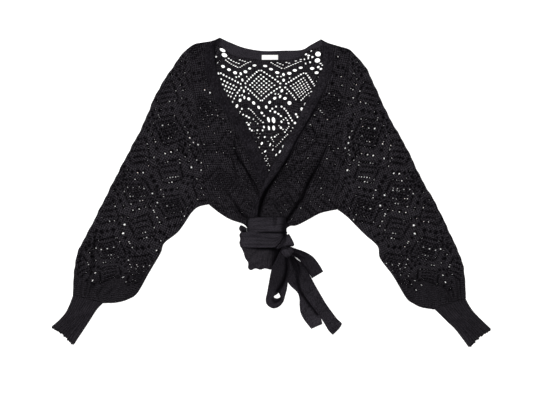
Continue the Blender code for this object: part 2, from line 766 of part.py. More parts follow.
def make_fronts(marks):
    """The two fronts with their bands; the right one laps over the left one."""
    left_edge = outer_edge(LEFT_BAND)
    left = joined(
        curve(LEFT_SHOULDER), curve(LEFT_ARMHOLE), curve(LEFT_HEM),
        line((UPPER_WRAP_X[0], -82), (UPPER_WRAP_X[0], WAIST_Y)),
        line((UPPER_WRAP_X[0], WAIST_Y), left_edge[-1], FINE_STEP),
        list(reversed(left_edge)),
    )
    holes = eyelets(left, (-165, 200), 14)
    panel("front_left", left, upper_height, LACE, holes, marks)
    panel("band_left", band_outline(LEFT_BAND), upper_height, BAND, (), marks, BLACK_BAND)
    right_edge = outer_edge(RIGHT_BAND)
    right = joined(
        right_edge, line(right_edge[-1], (UPPER_WRAP_X[1], WAIST_Y), FINE_STEP),
        line((UPPER_WRAP_X[1], WAIST_Y), RIGHT_HEM[-1]), list(reversed(curve(RIGHT_HEM))),
        list(reversed(curve(RIGHT_ARMHOLE))), list(reversed(curve(RIGHT_SHOULDER))),
    )
    holes = eyelets(right, (148, 214), -16)
    panel("front_right", right, lap_height, LACE, holes, marks)
    panel("band_right", band_outline(RIGHT_BAND), band_height, BAND, (), marks, BLACK_BAND)


def strip(name, table):
    """A free end of the tie, from its sections."""
    middles = [Vector(row[0:2]) for row in table]
    left, right = [], []
    for i, row in enumerate(table):
        along = (middles[min(i + 1, len(table) - 1)] - middles[max(i - 1, 0)]).normalized()
        across = Vector((-along.y, along.x)) * row[2] / 2
        left.append(middles[i] + across)
        right.append(middles[i] - across)

    def underside(x, y):
        point, best, lift = Vector((x, y)), 1e9, 0.0
        for i in range(len(table) - 1):
            distance, share = segment_distance(point, middles[i], middles[i + 1])
            if distance < best:
                best, lift = distance, table[i][3] + (table[i + 1][3] - table[i][3]) * share
        return lift

    outline = joined(curve(left), list(reversed(curve(right))))
    panel(name, outline, underside, BAND, (), middles[1:-1], BLACK_BAND)


def make_loop():
    """The hanging loop: one closed ribbon whose near side crosses over its far side."""
    edge = curve(LOOP_STRIP_EDGE, FINE_STEP)

    def loop_top(x, y):
        nearest = min(edge, key=lambda point: (point - Vector((x, y))).length)
        under_strip = fade(x - nearest.x, 2.0, -3.0) * fade(y, *LOOP_STRIP_START)
        return BAND + (LOOP_STRIP_HEIGHT - BAND) * under_strip

    marks = [point + Vector((shift, 0)) for point in edge for shift in LOOP_EDGE_MARKS]
    hole = [Vector(point) for point in LOOP_HOLE]
    panel("tie_loop", curve(LOOP_OUTLINE, 9), flat(0.0), BAND, [hole], marks, BLACK_BAND, loop_top)


def make_hem_ruffle():
    """The gathered hem that comes out below the wraps, with its fine ribs."""
    outline = joined(list(reversed(curve(HEM_TAIL_EDGE, 8))), under_wrap(range(-66, 20, 6)))
    low, high = HEM_TAIL_HEIGHT
    left, right = HEM_TAIL_RIBBED
    pitch = (right - left) / HEM_TAIL_RIBS

    def hem_top(x, y):
        rib = math.cos(math.tau * (x - left) / pitch)
        slope = fade(y, HEM_TAIL_MARKS[0], LOWER_WRAP_END)
        return low + (high - low) * slope + HEM_TAIL_RIB_HEIGHT * rib * fade(x, left - 8, left + 2)

    marks = [
        Vector((left + pitch / 2 * k, y)) for k in range(HEM_TAIL_RIBS * 2 + 1) for y in HEM_TAIL_MARKS
    ]
    panel("hem_ruffle", outline, flat(0.0), BAND, (), marks, BLACK_BAND, hem_top)


def under_wrap(across):
    """Points just below the lower wrap's lower edge."""
    return [Vector((x, sweep_end(x) - SEAM)) for x in across]


def make_ties():
    """The knot, its loop and three free ends, and what comes out beside the wraps."""
    strip("tail_short", SHORT_TAIL)
    strip("tail_middle", MIDDLE_TAIL)
    strip("tail_long", LONG_TAIL)
    make_loop()
    make_hem_ruffle()
    side = [Vector(point) for point in SIDE_FOLD]
    panel("side_fold", side, flat(0.0), BAND, top=sloped(SIDE_FOLD_HEIGHT, SIDE_FOLD_SLOPE))
    end = joined([Vector(point) for point in WRAP_END], under_wrap((27, 30, 33, 36)))
    panel(
        "wrap_end", end, flat(0.0), BAND, colour=BLACK_BAND,
        top=sloped(WRAP_END_HEIGHT, WRAP_END_SLOPE),
    )
    make_knot()


def make_knot():
    """The knot: a cushion with a flat underside and upright lower sides."""
    bm = bmesh.new()
    made = bmesh.ops.create_uvsphere(bm, u_segments=16, v_segments=10, radius=1.0)
    for vert in made["verts"]:
        x, y, z = vert.co
        across = math.hypot(x, y)
        full = across ** 0.3 if across > 0 else 0.0
        if across > 0:
            x, y = x / across * full, y / across * full
        height = KNOT_SIZE[2] * (0.35 + (0.65 * z if z > 0 else 0.35 * max(z, -0.6) / 0.6))
        vert.co = (KNOT_MIDDLE[0] + x * KNOT_SIZE[0] / 2, KNOT_MIDDLE[1] + y * KNOT_SIZE[1] / 2, height)
    finish(bm, "knot", BLACK_BAND)


def main():
    """Build every piece of the cardigan."""
    clear_scene()
    marks = fold_marks()
    make_back()
    make_sleeves(marks)
    make_fronts(marks)
    make_bundle()
    make_wraps()
    make_ties()


main()
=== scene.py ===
"""The looks of a wrap cardigan in openwork lace knit, laid flat with its ties knotted.

Every piece is shaped in millimetres in the garment's own plan: x across, y towards the neck and
z up from the floor. It becomes metres when its mesh is made. Left and right are as seen from
above. A knit place is a column and a row distance in millimetres on the unstretched knit.
"""

import logging
import math
from collections.abc import Callable, Sequence
from dataclasses import dataclass, field, replace
from enum import Enum
from typing import Protocol

import bmesh
import bpy
import numpy as np
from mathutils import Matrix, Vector
from mathutils.geometry import delaunay_2d_cdt


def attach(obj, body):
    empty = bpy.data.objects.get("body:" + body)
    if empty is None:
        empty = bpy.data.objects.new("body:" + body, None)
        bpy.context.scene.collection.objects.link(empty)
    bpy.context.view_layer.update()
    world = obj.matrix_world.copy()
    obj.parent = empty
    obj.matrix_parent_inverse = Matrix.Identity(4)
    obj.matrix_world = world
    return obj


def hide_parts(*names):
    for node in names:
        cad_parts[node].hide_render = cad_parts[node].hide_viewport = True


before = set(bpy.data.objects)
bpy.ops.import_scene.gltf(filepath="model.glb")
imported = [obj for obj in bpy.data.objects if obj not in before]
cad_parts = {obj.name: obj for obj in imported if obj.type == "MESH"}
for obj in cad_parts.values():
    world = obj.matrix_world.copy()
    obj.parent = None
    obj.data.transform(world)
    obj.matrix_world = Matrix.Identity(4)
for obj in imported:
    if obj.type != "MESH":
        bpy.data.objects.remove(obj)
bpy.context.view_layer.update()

MM = 0.001
SEED = 7

LACE = 2.0  # thickness of the lace
BAND = 2.2  # thickness of the fine knit
UPPER = 2.3  # height at which the upper layer lies on the lower one
LAP = 4.0  # how far the right front lies above the left one
FINE_STEP = 4.0  # spacing of the points along an edge
LINE_STEP = 3.0  # spacing of the points along a dark line or a cuff
SECTION_STEP = 2.5  # spacing of the sections along a band or a tie
DOUBLED = 0.3  # points of an outline that are nearer than this count as one
CREASE_PARTS = 12  # straight parts that a crease is followed in
MARKS = 40  # points along a crease that a panel carries
EYELET_POINTS = 8  # points round an eyelet
ON_EDGE = -1  # kind of a point on a panel's outline
IN_CLOTH = -2  # kind of a point inside the cloth; one round an eyelet has the eyelet's number

Points = np.ndarray
Numbers = np.ndarray
Route = tuple[tuple[float, ...], ...]
Height = Callable[[Points], Numbers]

log = logging.getLogger("cardigan")


class Slot(str, Enum):
    """The record's material slots."""

    LACE = "lace_knit"
    FINE = "fine_knit"
    RIBBED = "ribbed_knit"
    TAPE = "label_tape"


class Lie(str, Enum):
    """How a piece of cloth lies."""

    LAID = "laid"
    FOLDED = "folded"
    GATHERED = "gathered"


class Side(Enum):
    """A side of the garment, as seen from above."""

    LEFT = "left"
    RIGHT = "right"

    @property
    def inwards(self) -> float:
        """Give 1 where a left turn from an outer edge, followed down, leads inwards, else -1."""
        return 1.0 if self is Side.LEFT else -1.0


# Plane geometry


def fade(value: Numbers | float, start: float, end: float) -> Numbers:
    """Step smoothly from 0 to 1.

    Args:
        value: Where to look.
        start: The value at which the step starts; it may be the larger one.
        end: The value at which the step ends.

    Returns:
        The height of the step at each value.
    """
    share = np.clip((value - start) / (end - start), 0.0, 1.0)
    return share * share * (3.0 - 2.0 * share)


def bell(value: Numbers | float, width: float) -> Numbers:
    """Give a bell curve that is 1 at zero."""
    return np.exp(-((value / width) ** 2))


def swing(turns: Numbers | float) -> Numbers:
    """Swing between 0, where the turns are whole, and 1 halfway between them."""
    return 0.5 - 0.5 * np.cos(math.tau * turns)


def taper(place: Numbers, start: float, length: float) -> Numbers:
    """Give a line's strength along it, as a part of a half wave that starts at a share of it."""
    return np.sin(np.pi * (start + length * place)).clip(0) ** 0.5


def smooth(route: Sequence[Sequence[float]], step: float = FINE_STEP) -> Points:
    """Lay a smooth curve through the rows of a route.

    Args:
        route: Rows whose first two columns are x and y. All columns are followed.
        step: The distance between the curve's points.

    Returns:
        The curve's rows.
    """
    given = np.asarray(route, float)
    curve = [given[:1]]
    for i in range(len(given) - 1):
        before, start, end = given[max(i - 1, 0)], given[i], given[i + 1]
        after = given[min(i + 2, len(given) - 1)]
        parts = max(1, round(float(np.linalg.norm((end - start)[:2])) / step))
        t = np.arange(1, parts + 1)[:, None] / parts
        pull, push = (end - before) / 2, (after - start) / 2
        bend = start * 2 - end * 2 + pull + push
        rest = end * 3 - start * 3 - pull * 2 - push
        curve.append(start + pull * t + rest * t**2 + bend * t**3)
    return np.concatenate(curve)


def straight(start: Sequence[float], end: Sequence[float], step: float = FINE_STEP) -> Points:
    """Lay evenly spaced points on a straight line.

    Args:
        start: Its first point.
        end: Its last point.
        step: The distance between points.

    Returns:
        The points.
    """
    first, last = np.asarray(start, float), np.asarray(end, float)
    parts = max(1, round(float(np.linalg.norm(last - first)) / step))
    return first + (last - first) * np.linspace(0.0, 1.0, parts + 1)[:, None]


def lengths(curve: Points) -> Numbers:
    """Give how far along a curve each of its points lies."""
    return np.concatenate([[0.0], np.cumsum(np.linalg.norm(np.diff(curve[:, :2], axis=0), axis=1))])


def headings(curve: Points) -> Points:
    """Give the unit vector along a curve at each of its points."""
    along = np.gradient(curve, axis=0)
    return along / np.linalg.norm(along, axis=1)[:, None]


def sideways(heading: Points) -> Points:
    """Turn vectors a quarter turn to the left."""
    return np.stack([-heading[:, 1], heading[:, 0]], axis=1)


def crossed(first: Points, second: Points) -> Numbers:
    """Give the cross product of plane vectors."""
    return first[..., 0] * second[..., 1] - first[..., 1] * second[..., 0]


def beside(path: Points, offsets: Sequence[float]) -> Points:
    """Give copies of a path, each moved sideways by one of the offsets."""
    across = sideways(headings(path))
    return np.concatenate([path + across * offset for offset in offsets])


def even(curve: Points, count: int) -> Points:
    """Spread points evenly along a curve.

    Args:
        curve: The curve's rows.
        count: How many points to give.

    Returns:
        The evenly spread rows.
    """
    length = lengths(curve)
    places = np.linspace(0.0, length[-1], count)
    return np.stack([np.interp(places, length, column) for column in curve.T], axis=1)


def joined(*edges: Points) -> Points:
    """Join edges that follow each other into one closed outline, without doubled points.

    Args:
        *edges: The edges, in order.

    Returns:
        The outline's points.
    """
    points = np.concatenate(edges)
    apart = np.linalg.norm(points - np.roll(points, 1, axis=0), axis=1) > DOUBLED
    return points[apart]


def inset(outline: Points, distance: float, spike: float = 0.2, mitre: float = 0.6) -> Points:
    """Move a closed outline inwards.

    Args:
        outline: The outline's points.
        distance: How far; below zero it moves outwards.
        spike: A corner whose two unit sides add up to less than this turns right back.
        mitre: The least cosine that a corner's distance is divided by.

    Returns:
        The moved outline.
    """
    before, after = np.roll(outline, 1, axis=0), np.roll(outline, -1, axis=0)
    area = (before[:, 0] * outline[:, 1] - outline[:, 0] * before[:, 1]).sum()
    into, out = outline - before, after - outline
    into /= np.linalg.norm(into, axis=1)[:, None]
    out /= np.linalg.norm(out, axis=1)[:, None]
    both = into + out
    both[np.linalg.norm(both, axis=1) < spike] = 0.0
    both = np.where(both.any(axis=1)[:, None], both, into * 2)
    across = sideways(both) * np.sign(area)
    size = np.linalg.norm(across, axis=1)[:, None]
    return outline + across / size * distance / np.maximum(size / 2, mitre)


def inside(points: Points, outline: Points) -> Numbers:
    """Tell which points lie inside a closed outline.

    Args:
        points: The points to test.
        outline: The outline's points.

    Returns:
        Whether each point lies inside.
    """
    before = np.roll(outline, 1, axis=0)
    result = np.zeros(len(points), bool)
    for (x, y), (other_x, other_y) in zip(outline, before):
        if y != other_y:
            crosses = (y > points[:, 1]) != (other_y > points[:, 1])
            crossing = other_x + (x - other_x) * (points[:, 1] - other_y) / (y - other_y)
            result ^= crosses & (points[:, 0] < crossing)
    return result


def follow(points: Points, path: Points) -> tuple[Numbers, Numbers]:
    """Measure points against a path.

    Args:
        points: The points to measure.
        path: The path's points.

    Returns:
        The distance of each point to the path, and how far along it that is, from 0 to 1.
    """
    nearest, place = np.full(len(points), 1e9), np.zeros(len(points))
    parts = len(path) - 1
    for k in range(parts):
        along = path[k + 1] - path[k]
        offset = points - path[k]
        share = np.clip(offset @ along / max(float(along @ along), 1e-9), 0.0, 1.0)
        distance = np.linalg.norm(offset - share[:, None] * along, axis=1)
        nearer = distance < nearest
        nearest = np.where(nearer, distance, nearest)
        place = np.where(nearer, (k + share) / parts, place)
    return nearest, place


def edge_distance(points: Points, outline: Points) -> Numbers:
    """Measure how far points lie from a closed outline's edge."""
    return follow(points, np.concatenate([outline, outline[:1]]))[0]


def bow(row: Sequence[float], parts: int = 5) -> Points:
    """Follow the curve of a fold.

    Args:
        row: Start x and y, middle x and y, end x and y.
        parts: How many straight parts it is followed in.

    Returns:
        The points of the curve.
    """
    start, middle, end = (np.asarray(row[k : k + 2], float) for k in (0, 2, 4))
    handle = middle * 2 - (start + end) / 2
    t = np.linspace(0.0, 1.0, parts + 1)[:, None]
    return start * (1 - t) ** 2 + handle * 2 * t * (1 - t) + end * t**2


# The edges that the pieces share


@dataclass(frozen=True)
class Cut:
    """The seams and edges of the garment, as x and y of the points a smooth curve runs through."""

    left_shoulder: Route = ((-152, 361), (-182, 357), (-201, 345))
    left_armhole: Route = ((-201, 345), (-176, 160), (-150, -28))
    left_hem: Route = ((-150, -28), (-136, -40), (-118, -53), (-97, -65), (-67, -75), (-60, -82))
    right_shoulder: Route = ((146, 354), (177, 347), (189, 342))
    right_armhole: Route = ((189, 342), (172, 150), (158, -40))
    right_hem: Route = (
        (158, -40), (124, -47), (107, -54), (91, -63), (61, -78), (44, -80), (31, -90),
    )
    neck_top: Route = (
        (-124, 370), (-98, 357), (-66, 345), (-18, 338), (30, 339), (72, 341), (94, 353), (119, 367),
    )
    neck_low: Route = (
        (-140, 364), (-119, 350), (-109, 342), (-97, 332), (-76, 325), (-45, 321), (-18, 318),
        (30, 318), (54, 321), (70, 326), (80, 334), (91, 342), (102, 346), (114, 348), (133, 360),
    )
    # Bands, a row for each section: inner x, inner y, outer x, outer y.
    left_band: Route = (
        (-126, 369, -152, 361), (-134, 350, -158, 346), (-133, 313, -160, 313),
        (-126, 275, -152, 268), (-111, 243, -136, 229), (-82, 198, -106, 184),
        (-50, 146, -77, 134), (-24, 96, -54, 86), (-6, 52, -40, 46), (4, 22, -24, 18),
        (9, -10, -18, -12), (10, -58, -16, -58),
    )
    right_band: Route = (
        (121, 366, 146, 354), (123, 324, 150, 328), (123, 302, 147, 300), (115, 283, 139, 275),
        (101, 249, 123, 238), (78, 208, 101, 195), (60, 168, 82, 157), (35, 126, 60, 116),
        (21, 93, 44, 88), (4, 70, 27, 64), (-9, 40, 7, 36), (-25, 8, -14, 8),
        (-36, -10, -25, -12), (-45, -34, -30, -34), (-51, -58, -31, -58),
    )
    waist_left: float = -59.0
    waist_right: float = 30.0
    waist_top: float = -58.0


CUT = Cut()


# How the layers lie


@dataclass(frozen=True)
class Drape:
    """The heights at which the layers lie, with their folds, creases and gathers."""

    # Folds, a row each: start, middle and end x and y, height, half width.
    folds: Route = (
        (126, 128, 86, 44, 28, -50, 6.0, 16),
        (154, 122, 115, 34, 54, -60, 5.0, 15),
        (-74, 120, -46, 62, -22, 0, 4.5, 13),
        (-102, 110, -71, 48, -44, -14, 4.5, 13),
        (-116, 98, -100, 40, -84, -6, 3.0, 12),
        (-97, -24, -80, -44, -66, -66, 3.0, 9),
        (168, 60, 130, 10, 74, -44, 3.0, 16),
        (-262, -20, -254, -66, -268, -116, 5.0, 16),
        (-418, -80, -428, -150, -442, -215, 4.5, 15),
        (-318, 118, -280, 140, -240, 136, 3.5, 16),
        (-352, 56, -312, 78, -272, 70, 3.5, 16),
        (-210, 250, -232, 180, -262, 110, 3.0, 18),
        (286, 226, 300, 140, 334, 62, 4.5, 18),
        (352, -20, 356, -100, 376, -176, 4.0, 16),
        (240, 210, 232, 120, 244, 30, 3.0, 18),
        (232, -70, 262, -60, 300, -84, 3.5, 14),
        (300, -110, 314, -160, 350, -220, 3.5, 14),
    )
    # Creases, a row each: start, middle and end x and y, share of the height cut, half width,
    # height of the shoulders beside it, their reach.
    creases: Route = (
        (140, 130, 98, 38, 34, -66, 0.95, 3.6, 3.0, 15),
        (-87, 116, -60, 53, -30, -12, 0.90, 2.8, 2.0, 10),
        (-100, 98, -88, 60, -75, 26, 0.70, 2.6, 1.2, 9),
        (-90, -12, -82, -30, -73, -46, 0.80, 2.6, 1.0, 8),
        (62, 112, 12, 46, -30, -40, 0.90, 3.4, 0.0, 8),
    )
    waist: tuple[float, float] = (-16.0, -58.0)
    waist_rise: float = 17.0
    waist_reach: tuple[float, float] = (58.0, 104.0)
    gathers: int = 26
    gather_height: float = 2.0
    gather_fade: tuple[float, float] = (150.0, 54.0)
    band_stands: float = 6.0
    # Gathers above the cuffs, a row for each cuff: pivot x and y, first and last angle in degrees.
    cuff_gathers: Route = ((-452, -300, 62, 118), (440, -312, 70, 126))
    cuff_gather_count: int = 5
    # How far from the pivot they start, their length, height and half width.
    cuff_gather_sizes: tuple[float, float, float, float] = (50.0, 62.0, 2.6, 7.0)
    # Slow waves of cloth that doesn't lie quite flat: wavelength in x and y, height.
    waves: Route = ((92, 140, 0.5), (-61, 83, 0.35), (150, -57, 0.35), (38, 210, 0.25))

    def rows(self) -> list[tuple[float, ...]]:
        """List the folds, the gathers above the cuffs among them.

        Returns:
            A row for each fold, as in folds.
        """
        start, length, height, width = self.cuff_gather_sizes
        found = list(self.folds)
        for x, y, first, last in self.cuff_gathers:
            for k in range(self.cuff_gather_count):
                angle = math.radians(first + (last - first) * k / (self.cuff_gather_count - 1))
                pivot, along = np.array([x, y]), np.array([math.cos(angle), math.sin(angle)])
                reach = length * (1.0 if k % 2 else 0.75)
                near, far = pivot + along * start, pivot + along * (start + reach)
                found.append((*near, *((near + far) / 2), *far, height, width))
        return found

    def ridges(self, points: Points) -> Numbers:
        """Measure how high the folds stand.

        Args:
            points: Points of the upper layer.

        Returns:
            The height at each point.
        """
        total = np.zeros(len(points))
        for *curve, height, half in self.rows():
            nearest, place = follow(points, bow(curve))
            across = np.cos(np.pi / 2 * np.minimum(nearest / half, 1.0)) ** 2
            total += height * across * taper(place, 0.08, 0.92)
        return total

    def rise(self, points: Points) -> Numbers:
        """Measure how high the upper layer rises towards the wraps, with its gathers.

        Args:
            points: Points of the upper layer.

        Returns:
            The height at each point.
        """
        x, y = points[:, 0] - self.waist[0], points[:, 1] - self.waist[1]
        reach_x, reach_y = self.waist_reach
        bulge = 1.0 - (x / reach_x) ** 2 - (np.maximum(y, 0.0) / reach_y) ** 2
        ripple = 0.5 + 0.5 * np.cos(self.gathers * np.arctan2(y, x))
        gathered = self.gather_height * ripple * fade(np.hypot(x, y), *self.gather_fade)
        return self.waist_rise * bulge.clip(0) ** 2 + gathered

    def crease(self, points: Points) -> tuple[Numbers, Numbers]:
        """Measure the creases at points of the upper layer.

        Args:
            points: The points.

        Returns:
            The height of the shoulders beside them, and the share of the height that is cut.
        """
        shoulder, cut = np.zeros(len(points)), np.zeros(len(points))
        for *curve, depth, half, height, reach in self.creases:
            nearest, place = follow(points, bow(curve, CREASE_PARTS))
            strength = taper(place, 0.04, 0.92)
            shoulder += height * strength * bell(nearest, reach)
            cut = np.maximum(cut, depth * strength * (1.0 - nearest / half).clip(0) ** 0.7)
        return shoulder, cut

    def drift(self, points: Points) -> Numbers:
        """Measure the slow waves of cloth that doesn't lie quite flat.

        Args:
            points: Points of the upper layer.

        Returns:
            The height at each point.
        """
        total = np.zeros(len(points))
        for k, (wide, long, height) in enumerate(self.waves):
            total += height * (1 + np.sin(math.tau * (points[:, 0] / wide + points[:, 1] / long) + k))
        return total

    def lapped(self, points: Points) -> Numbers:
        """Give how far the right front is lifted where it laps over the left one."""
        return LAP * fade(points[:, 0], 46, 16) * fade(points[:, 1], 96, 62)

    def upper(self, points: Points) -> Numbers:
        """Give the underside of the upper layer."""
        shoulder, cut = self.crease(points)
        return UPPER + (self.rise(points) + self.ridges(points) + self.drift(points) + shoulder) * (1 - cut)

    def lap(self, points: Points) -> Numbers:
        """Give the underside of the right front, above the left one where they cross."""
        return self.upper(points) + self.lapped(points)

    def band(self, points: Points) -> Numbers:
        """Measure the underside of the right band, which stands above the front beside it.

        Args:
            points: Points of the band.

        Returns:
            The height at each point.
        """
        smoothed = UPPER + self.rise(points) + self.ridges(points) + self.drift(points)
        stands = self.band_stands * fade(points[:, 1], 150, 50) * fade(points[:, 1], self.waist[1], 0)
        return smoothed + self.lapped(points) + stands

    def marks(self) -> Points:
        """Place the points that a panel needs to carry the creases.

        Returns:
            Points on each crease and at three distances on either side of it.
        """
        found = []
        for *curve, _, half, _, _ in self.creases:
            offsets = (0.0, -half * 0.45, half * 0.45, -half, half, -half * 2, half * 2)
            found.append(beside(even(bow(curve, CREASE_PARTS), MARKS), offsets))
        return np.concatenate(found)


DRAPE = Drape()


@dataclass(frozen=True)
class Shade:
    """A painted shadow line where cloth closes on cloth, or a painted highlight on a rolled rim.

    Attributes:
        path: The points that the line runs through.
        width: Half its width.
        depth: How deep its painted shade is, from 0 to 1; below zero it is a painted highlight.
        pieces: The names of the pieces that carry it.
        open_end: Whether it stays as strong at its end as in its middle.
    """

    path: Route
    width: float
    depth: float
    pieces: tuple[str, ...]
    open_end: bool = False

    def of(self, points: Points) -> Numbers:
        """Measure the line.

        Args:
            points: Points of a piece that carries it.

        Returns:
            The factor for the shade of each point.
        """
        path = smooth(self.path, LINE_STEP)
        factor = np.ones(len(points))
        reach = self.width * 2.5
        low, high = path.min(axis=0) - reach, path.max(axis=0) + reach
        near = ((points > low) & (points < high)).all(axis=1)
        if near.any():
            distance, place = follow(points[near], path)
            strength = taper(place, 0.06, 0.5 if self.open_end else 0.88)
            factor[near] = (1.0 - self.depth * strength * bell(distance, self.width)).clip(0)
        return factor

    def marks(self) -> Points:
        """Give the points that a panel needs to carry the line."""
        offsets = [offset * self.width for offset in (0.0, -0.8, 0.8, -1.6, 1.6)]
        return beside(even(smooth(self.path, LINE_STEP), MARKS), offsets)


FRONTS = ("left_front", "right_front", "left_front_edge", "right_front_edge")
SLEEVES = ("sleeve_left_upper_layer", "sleeve_right_upper_layer", "cuff_left_rib", "cuff_right_rib")
# Painted shadow lines along creases and where cloth lies on cloth, and a painted highlight on the right
# band's rim.
SHADES = (
    Shade(((131, 108), (120, 83), (111, 65), (101, 47), (91, 30), (84, 14)), 5.0, 0.75, FRONTS, True),
    Shade(
        ((96, 40), (84.7, 16), (76.6, -10), (65, -25.6), (52, -45), (38, -64), (29, -75)),
        4.8, 1.2, FRONTS, True,
    ),
    Shade(
        ((-91, 122), (-86, 98), (-79, 80), (-72, 72), (-58, 51), (-46.6, 32), (-37, 16), (-30, -4)),
        2.5, 1.1, FRONTS,
    ),
    Shade(((-100, 104), (-91.4, 73.6), (-86, 46), (-80, 22)), 2.4, 0.6, FRONTS),
    Shade(((-89, 122), (-87, 101), (-80, 84), (-73, 71)), 2.8, 0.95, FRONTS),
    Shade(((-112, 6), (-100, -8), (-87, -26), (-77, -43), (-66, -56), (-57, -60)), 2.9, 1.1, FRONTS, True),
    Shade(((-100, -26), (-88, -42), (-72, -60)), 2.0, 0.5, FRONTS),
    Shade(
        ((130, 254), (115.5, 222.5), (105, 202), (93, 181), (81, 160.5), (60.5, 126.5), (43.3, 92), (26, 61)),
        2.8, 1.2, FRONTS, True,
    ),
    Shade(
        ((36, 78), (26, 61), (15, 44), (5.5, 30.5), (-11.5, 6.5), (-22, -17.5), (-28.5, -48.5), (-30, -62)),
        5.6, 1.2, FRONTS, True,
    ),
    Shade(((-421, -80), (-423, -120), (-427, -145), (-426, -166), (-427, -182)), 2.6, 0.8, SLEEVES),
    Shade(
        ((-432, -113), (-443, -128), (-454, -139), (-460, -163), (-463, -185), (-467, -205)),
        2.8, 0.7, SLEEVES,
    ),
    Shade(
        ((-430, -128), (-432, -163), (-433, -190), (-440, -211), (-443, -233), (-447, -250)),
        2.4, 0.6, SLEEVES,
    ),
    Shade(((-411, -203), (-421, -217), (-428, -231)), 2.4, 0.6, SLEEVES),
    Shade(((-400, -222), (-411, -235), (-418, -248)), 2.2, 0.55, SLEEVES),
    Shade(((-426, -200), (-432, -222), (-439, -248)), 2.2, 0.6, SLEEVES),
    Shade(((-373, -224), (-389, -238), (-403, -247)), 2.4, 0.55, SLEEVES),
    Shade(((-452, -195), (-455, -220), (-458, -250)), 2.2, 0.5, SLEEVES),
    Shade(((400, -222), (419, -233), (432, -258)), 2.6, 0.65, SLEEVES),
    Shade(((418, -222), (434, -238), (440, -256)), 2.2, 0.6, SLEEVES),
    Shade(((442, -205), (445, -233), (447, -260)), 2.4, 0.6, SLEEVES),
    Shade(((451, -208), (453, -238), (456, -260)), 2.2, 0.6, SLEEVES),
    Shade(((404, -246), (420, -254), (430, -268)), 2.2, 0.5, SLEEVES),
    Shade(((-72, -83), (-68, -89), (-64, -95)), 3.4, 0.9, ("side_corner",), True),
    Shade(((8, -25.6), (32, -19), (57, -8), (76, 6)), 1.3, 0.5, FRONTS),
    Shade(((9, -32), (35, -25.6), (60.7, -14.5)), 1.3, 0.55, FRONTS),
    Shade(((16, 20), (36, 36), (60, 46)), 1.4, 0.5, FRONTS),
    Shade(((33, 82), (60.7, 91), (88, 99)), 1.4, 0.5, FRONTS),
    Shade(((38, 48), (67, 73.6), (92, 84)), 1.4, 0.45, FRONTS),
    Shade(((84, 72), (104, 90), (127, 104)), 1.5, 0.5, FRONTS),
    Shade(((128, 46), (104, 8), (74, -30)), 2.2, 0.35, FRONTS),
    Shade(((4.6, -56), (5.5, -70), (6.5, -84)), 1.6, 0.7, ("upper_wrap",)),
    Shade(((12, -57), (11.5, -70), (9, -82)), 1.4, 0.4, ("upper_wrap",)),
    Shade(((-59, -84), (-58, -68), (-52, -59.5), (-38, -57.5)), 3.4, 0.7, ("upper_wrap",)),
    Shade(((-32, -95), (-10, -95.5), (34, -97)), 1.9, 0.95, ("upper_wrap", "lower_wrap"), True),
    Shade(((31, -56), (29, -78), (30, -101)), 6.5, 0.88, ("upper_wrap", "lower_wrap", "right_front"), True),
    Shade(((-42, -100), (-24, -97), (-8, -101)), 2.0, 0.35, ("lower_wrap",)),
    Shade(((-47, -131.5), (-12, -134), (12, -136), (24, -141)), 3.4, 0.9, ("hem_frill",), True),
    Shade(((25, -138), (10, -156), (3, -176)), 4.6, 0.95, ("hem_frill",), True),
    Shade(((22, -127), (31, -117), (34, -106)), 3.2, 0.85, ("wrap_tip", "lower_wrap"), True),
    Shade(((20, -135), (36, -132), (47, -128)), 2.6, 0.85, ("wrap_tip", "drawn_knot"), True),
    Shade(((22, -133), (21.5, -141), (24, -149)), 2.8, 0.8, ("drawn_knot",), True),
    # Painted highlight along the right band's rolled rim.
    Shade(((-50, 24), (-42, 6), (-34, -20), (-33, -50)), 2.2, -0.22, ("right_front_edge",)),
    Shade(
        ((35, -148), (36.5, -160), (36.5, -176), (34.5, -196), (30, -210), (22, -224), (14, -236)),
        6.0, 1.0, ("hanging_loop",), True,
    ),
    Shade(((30, -150), (35, -171), (36, -196), (38, -206)), 4.0, 1.0, ("tail_middle_ribbon",)),
    Shade(((2, -262), (10, -263), (22, -256)), 1.8, 0.85, ("hanging_loop",)),
    Shade(
        ((44, -158), (56, -171), (61.5, -190), (62.5, -210), (68, -233), (82, -255), (97, -274), (111, -291)),
        5.0, 0.98, ("tail_middle_ribbon",), True,
    ),
    Shade(((46, -152), (62, -168), (67, -186), (68, -200)), 3.0, 0.9, ("tail_long_ribbon",)),
    Shade(((72, -168), (85, -185), (92, -197)), 2.4, 0.7, ("tail_long_ribbon", "tail_short_ribbon")),
    Shade(((44, -158), (50, -172), (54, -186)), 2.2, 0.6, ("tail_middle_ribbon",)),
    Shade(((46, -138), (62, -146), (82, -160)), 2.0, 0.6, ("tail_short_ribbon",)),
    Shade(((48, -146), (58, -150), (70, -160)), 2.2, 0.8, ("tail_short_ribbon",)),
    Shade(((-133, 369), (-137, 352), (-134, 330), (-134, 310)), 4.0, 0.8, ("left_front_edge",), True),
    Shade(((150, 344), (148, 322), (144, 300)), 2.2, 0.55, ("right_front_edge",)),
    Shade(((136, 350), (137, 322), (133, 298)), 2.0, 0.4, ("right_front_edge",)),
    Shade(((-130, 372), (-125, 362), (-131, 352)), 3.0, 0.7, ("neck_edge",)),
)


def shaded(name: str, points: Points) -> Numbers:
    """Measure the painted shadow and highlight lines on a piece.

    Args:
        name: The piece's name.
        points: Its points in the plan.

    Returns:
        The factor for the shade of each point.
    """
    factor = np.ones(len(points))
    for line in SHADES:
        if name in line.pieces:
            factor *= line.of(points)
    return factor


def flat(height: float) -> Height:
    """Give a height or a shade that is the same everywhere."""
    return lambda points: np.full(len(points), height)


# Knit charts


class Knit(Protocol):
    """The way in which a panel's knit lies in the plan."""

    columns: range
    rows: range

    def place(self, stitches: Points) -> Points:
        """Give where knit places lie in the plan."""


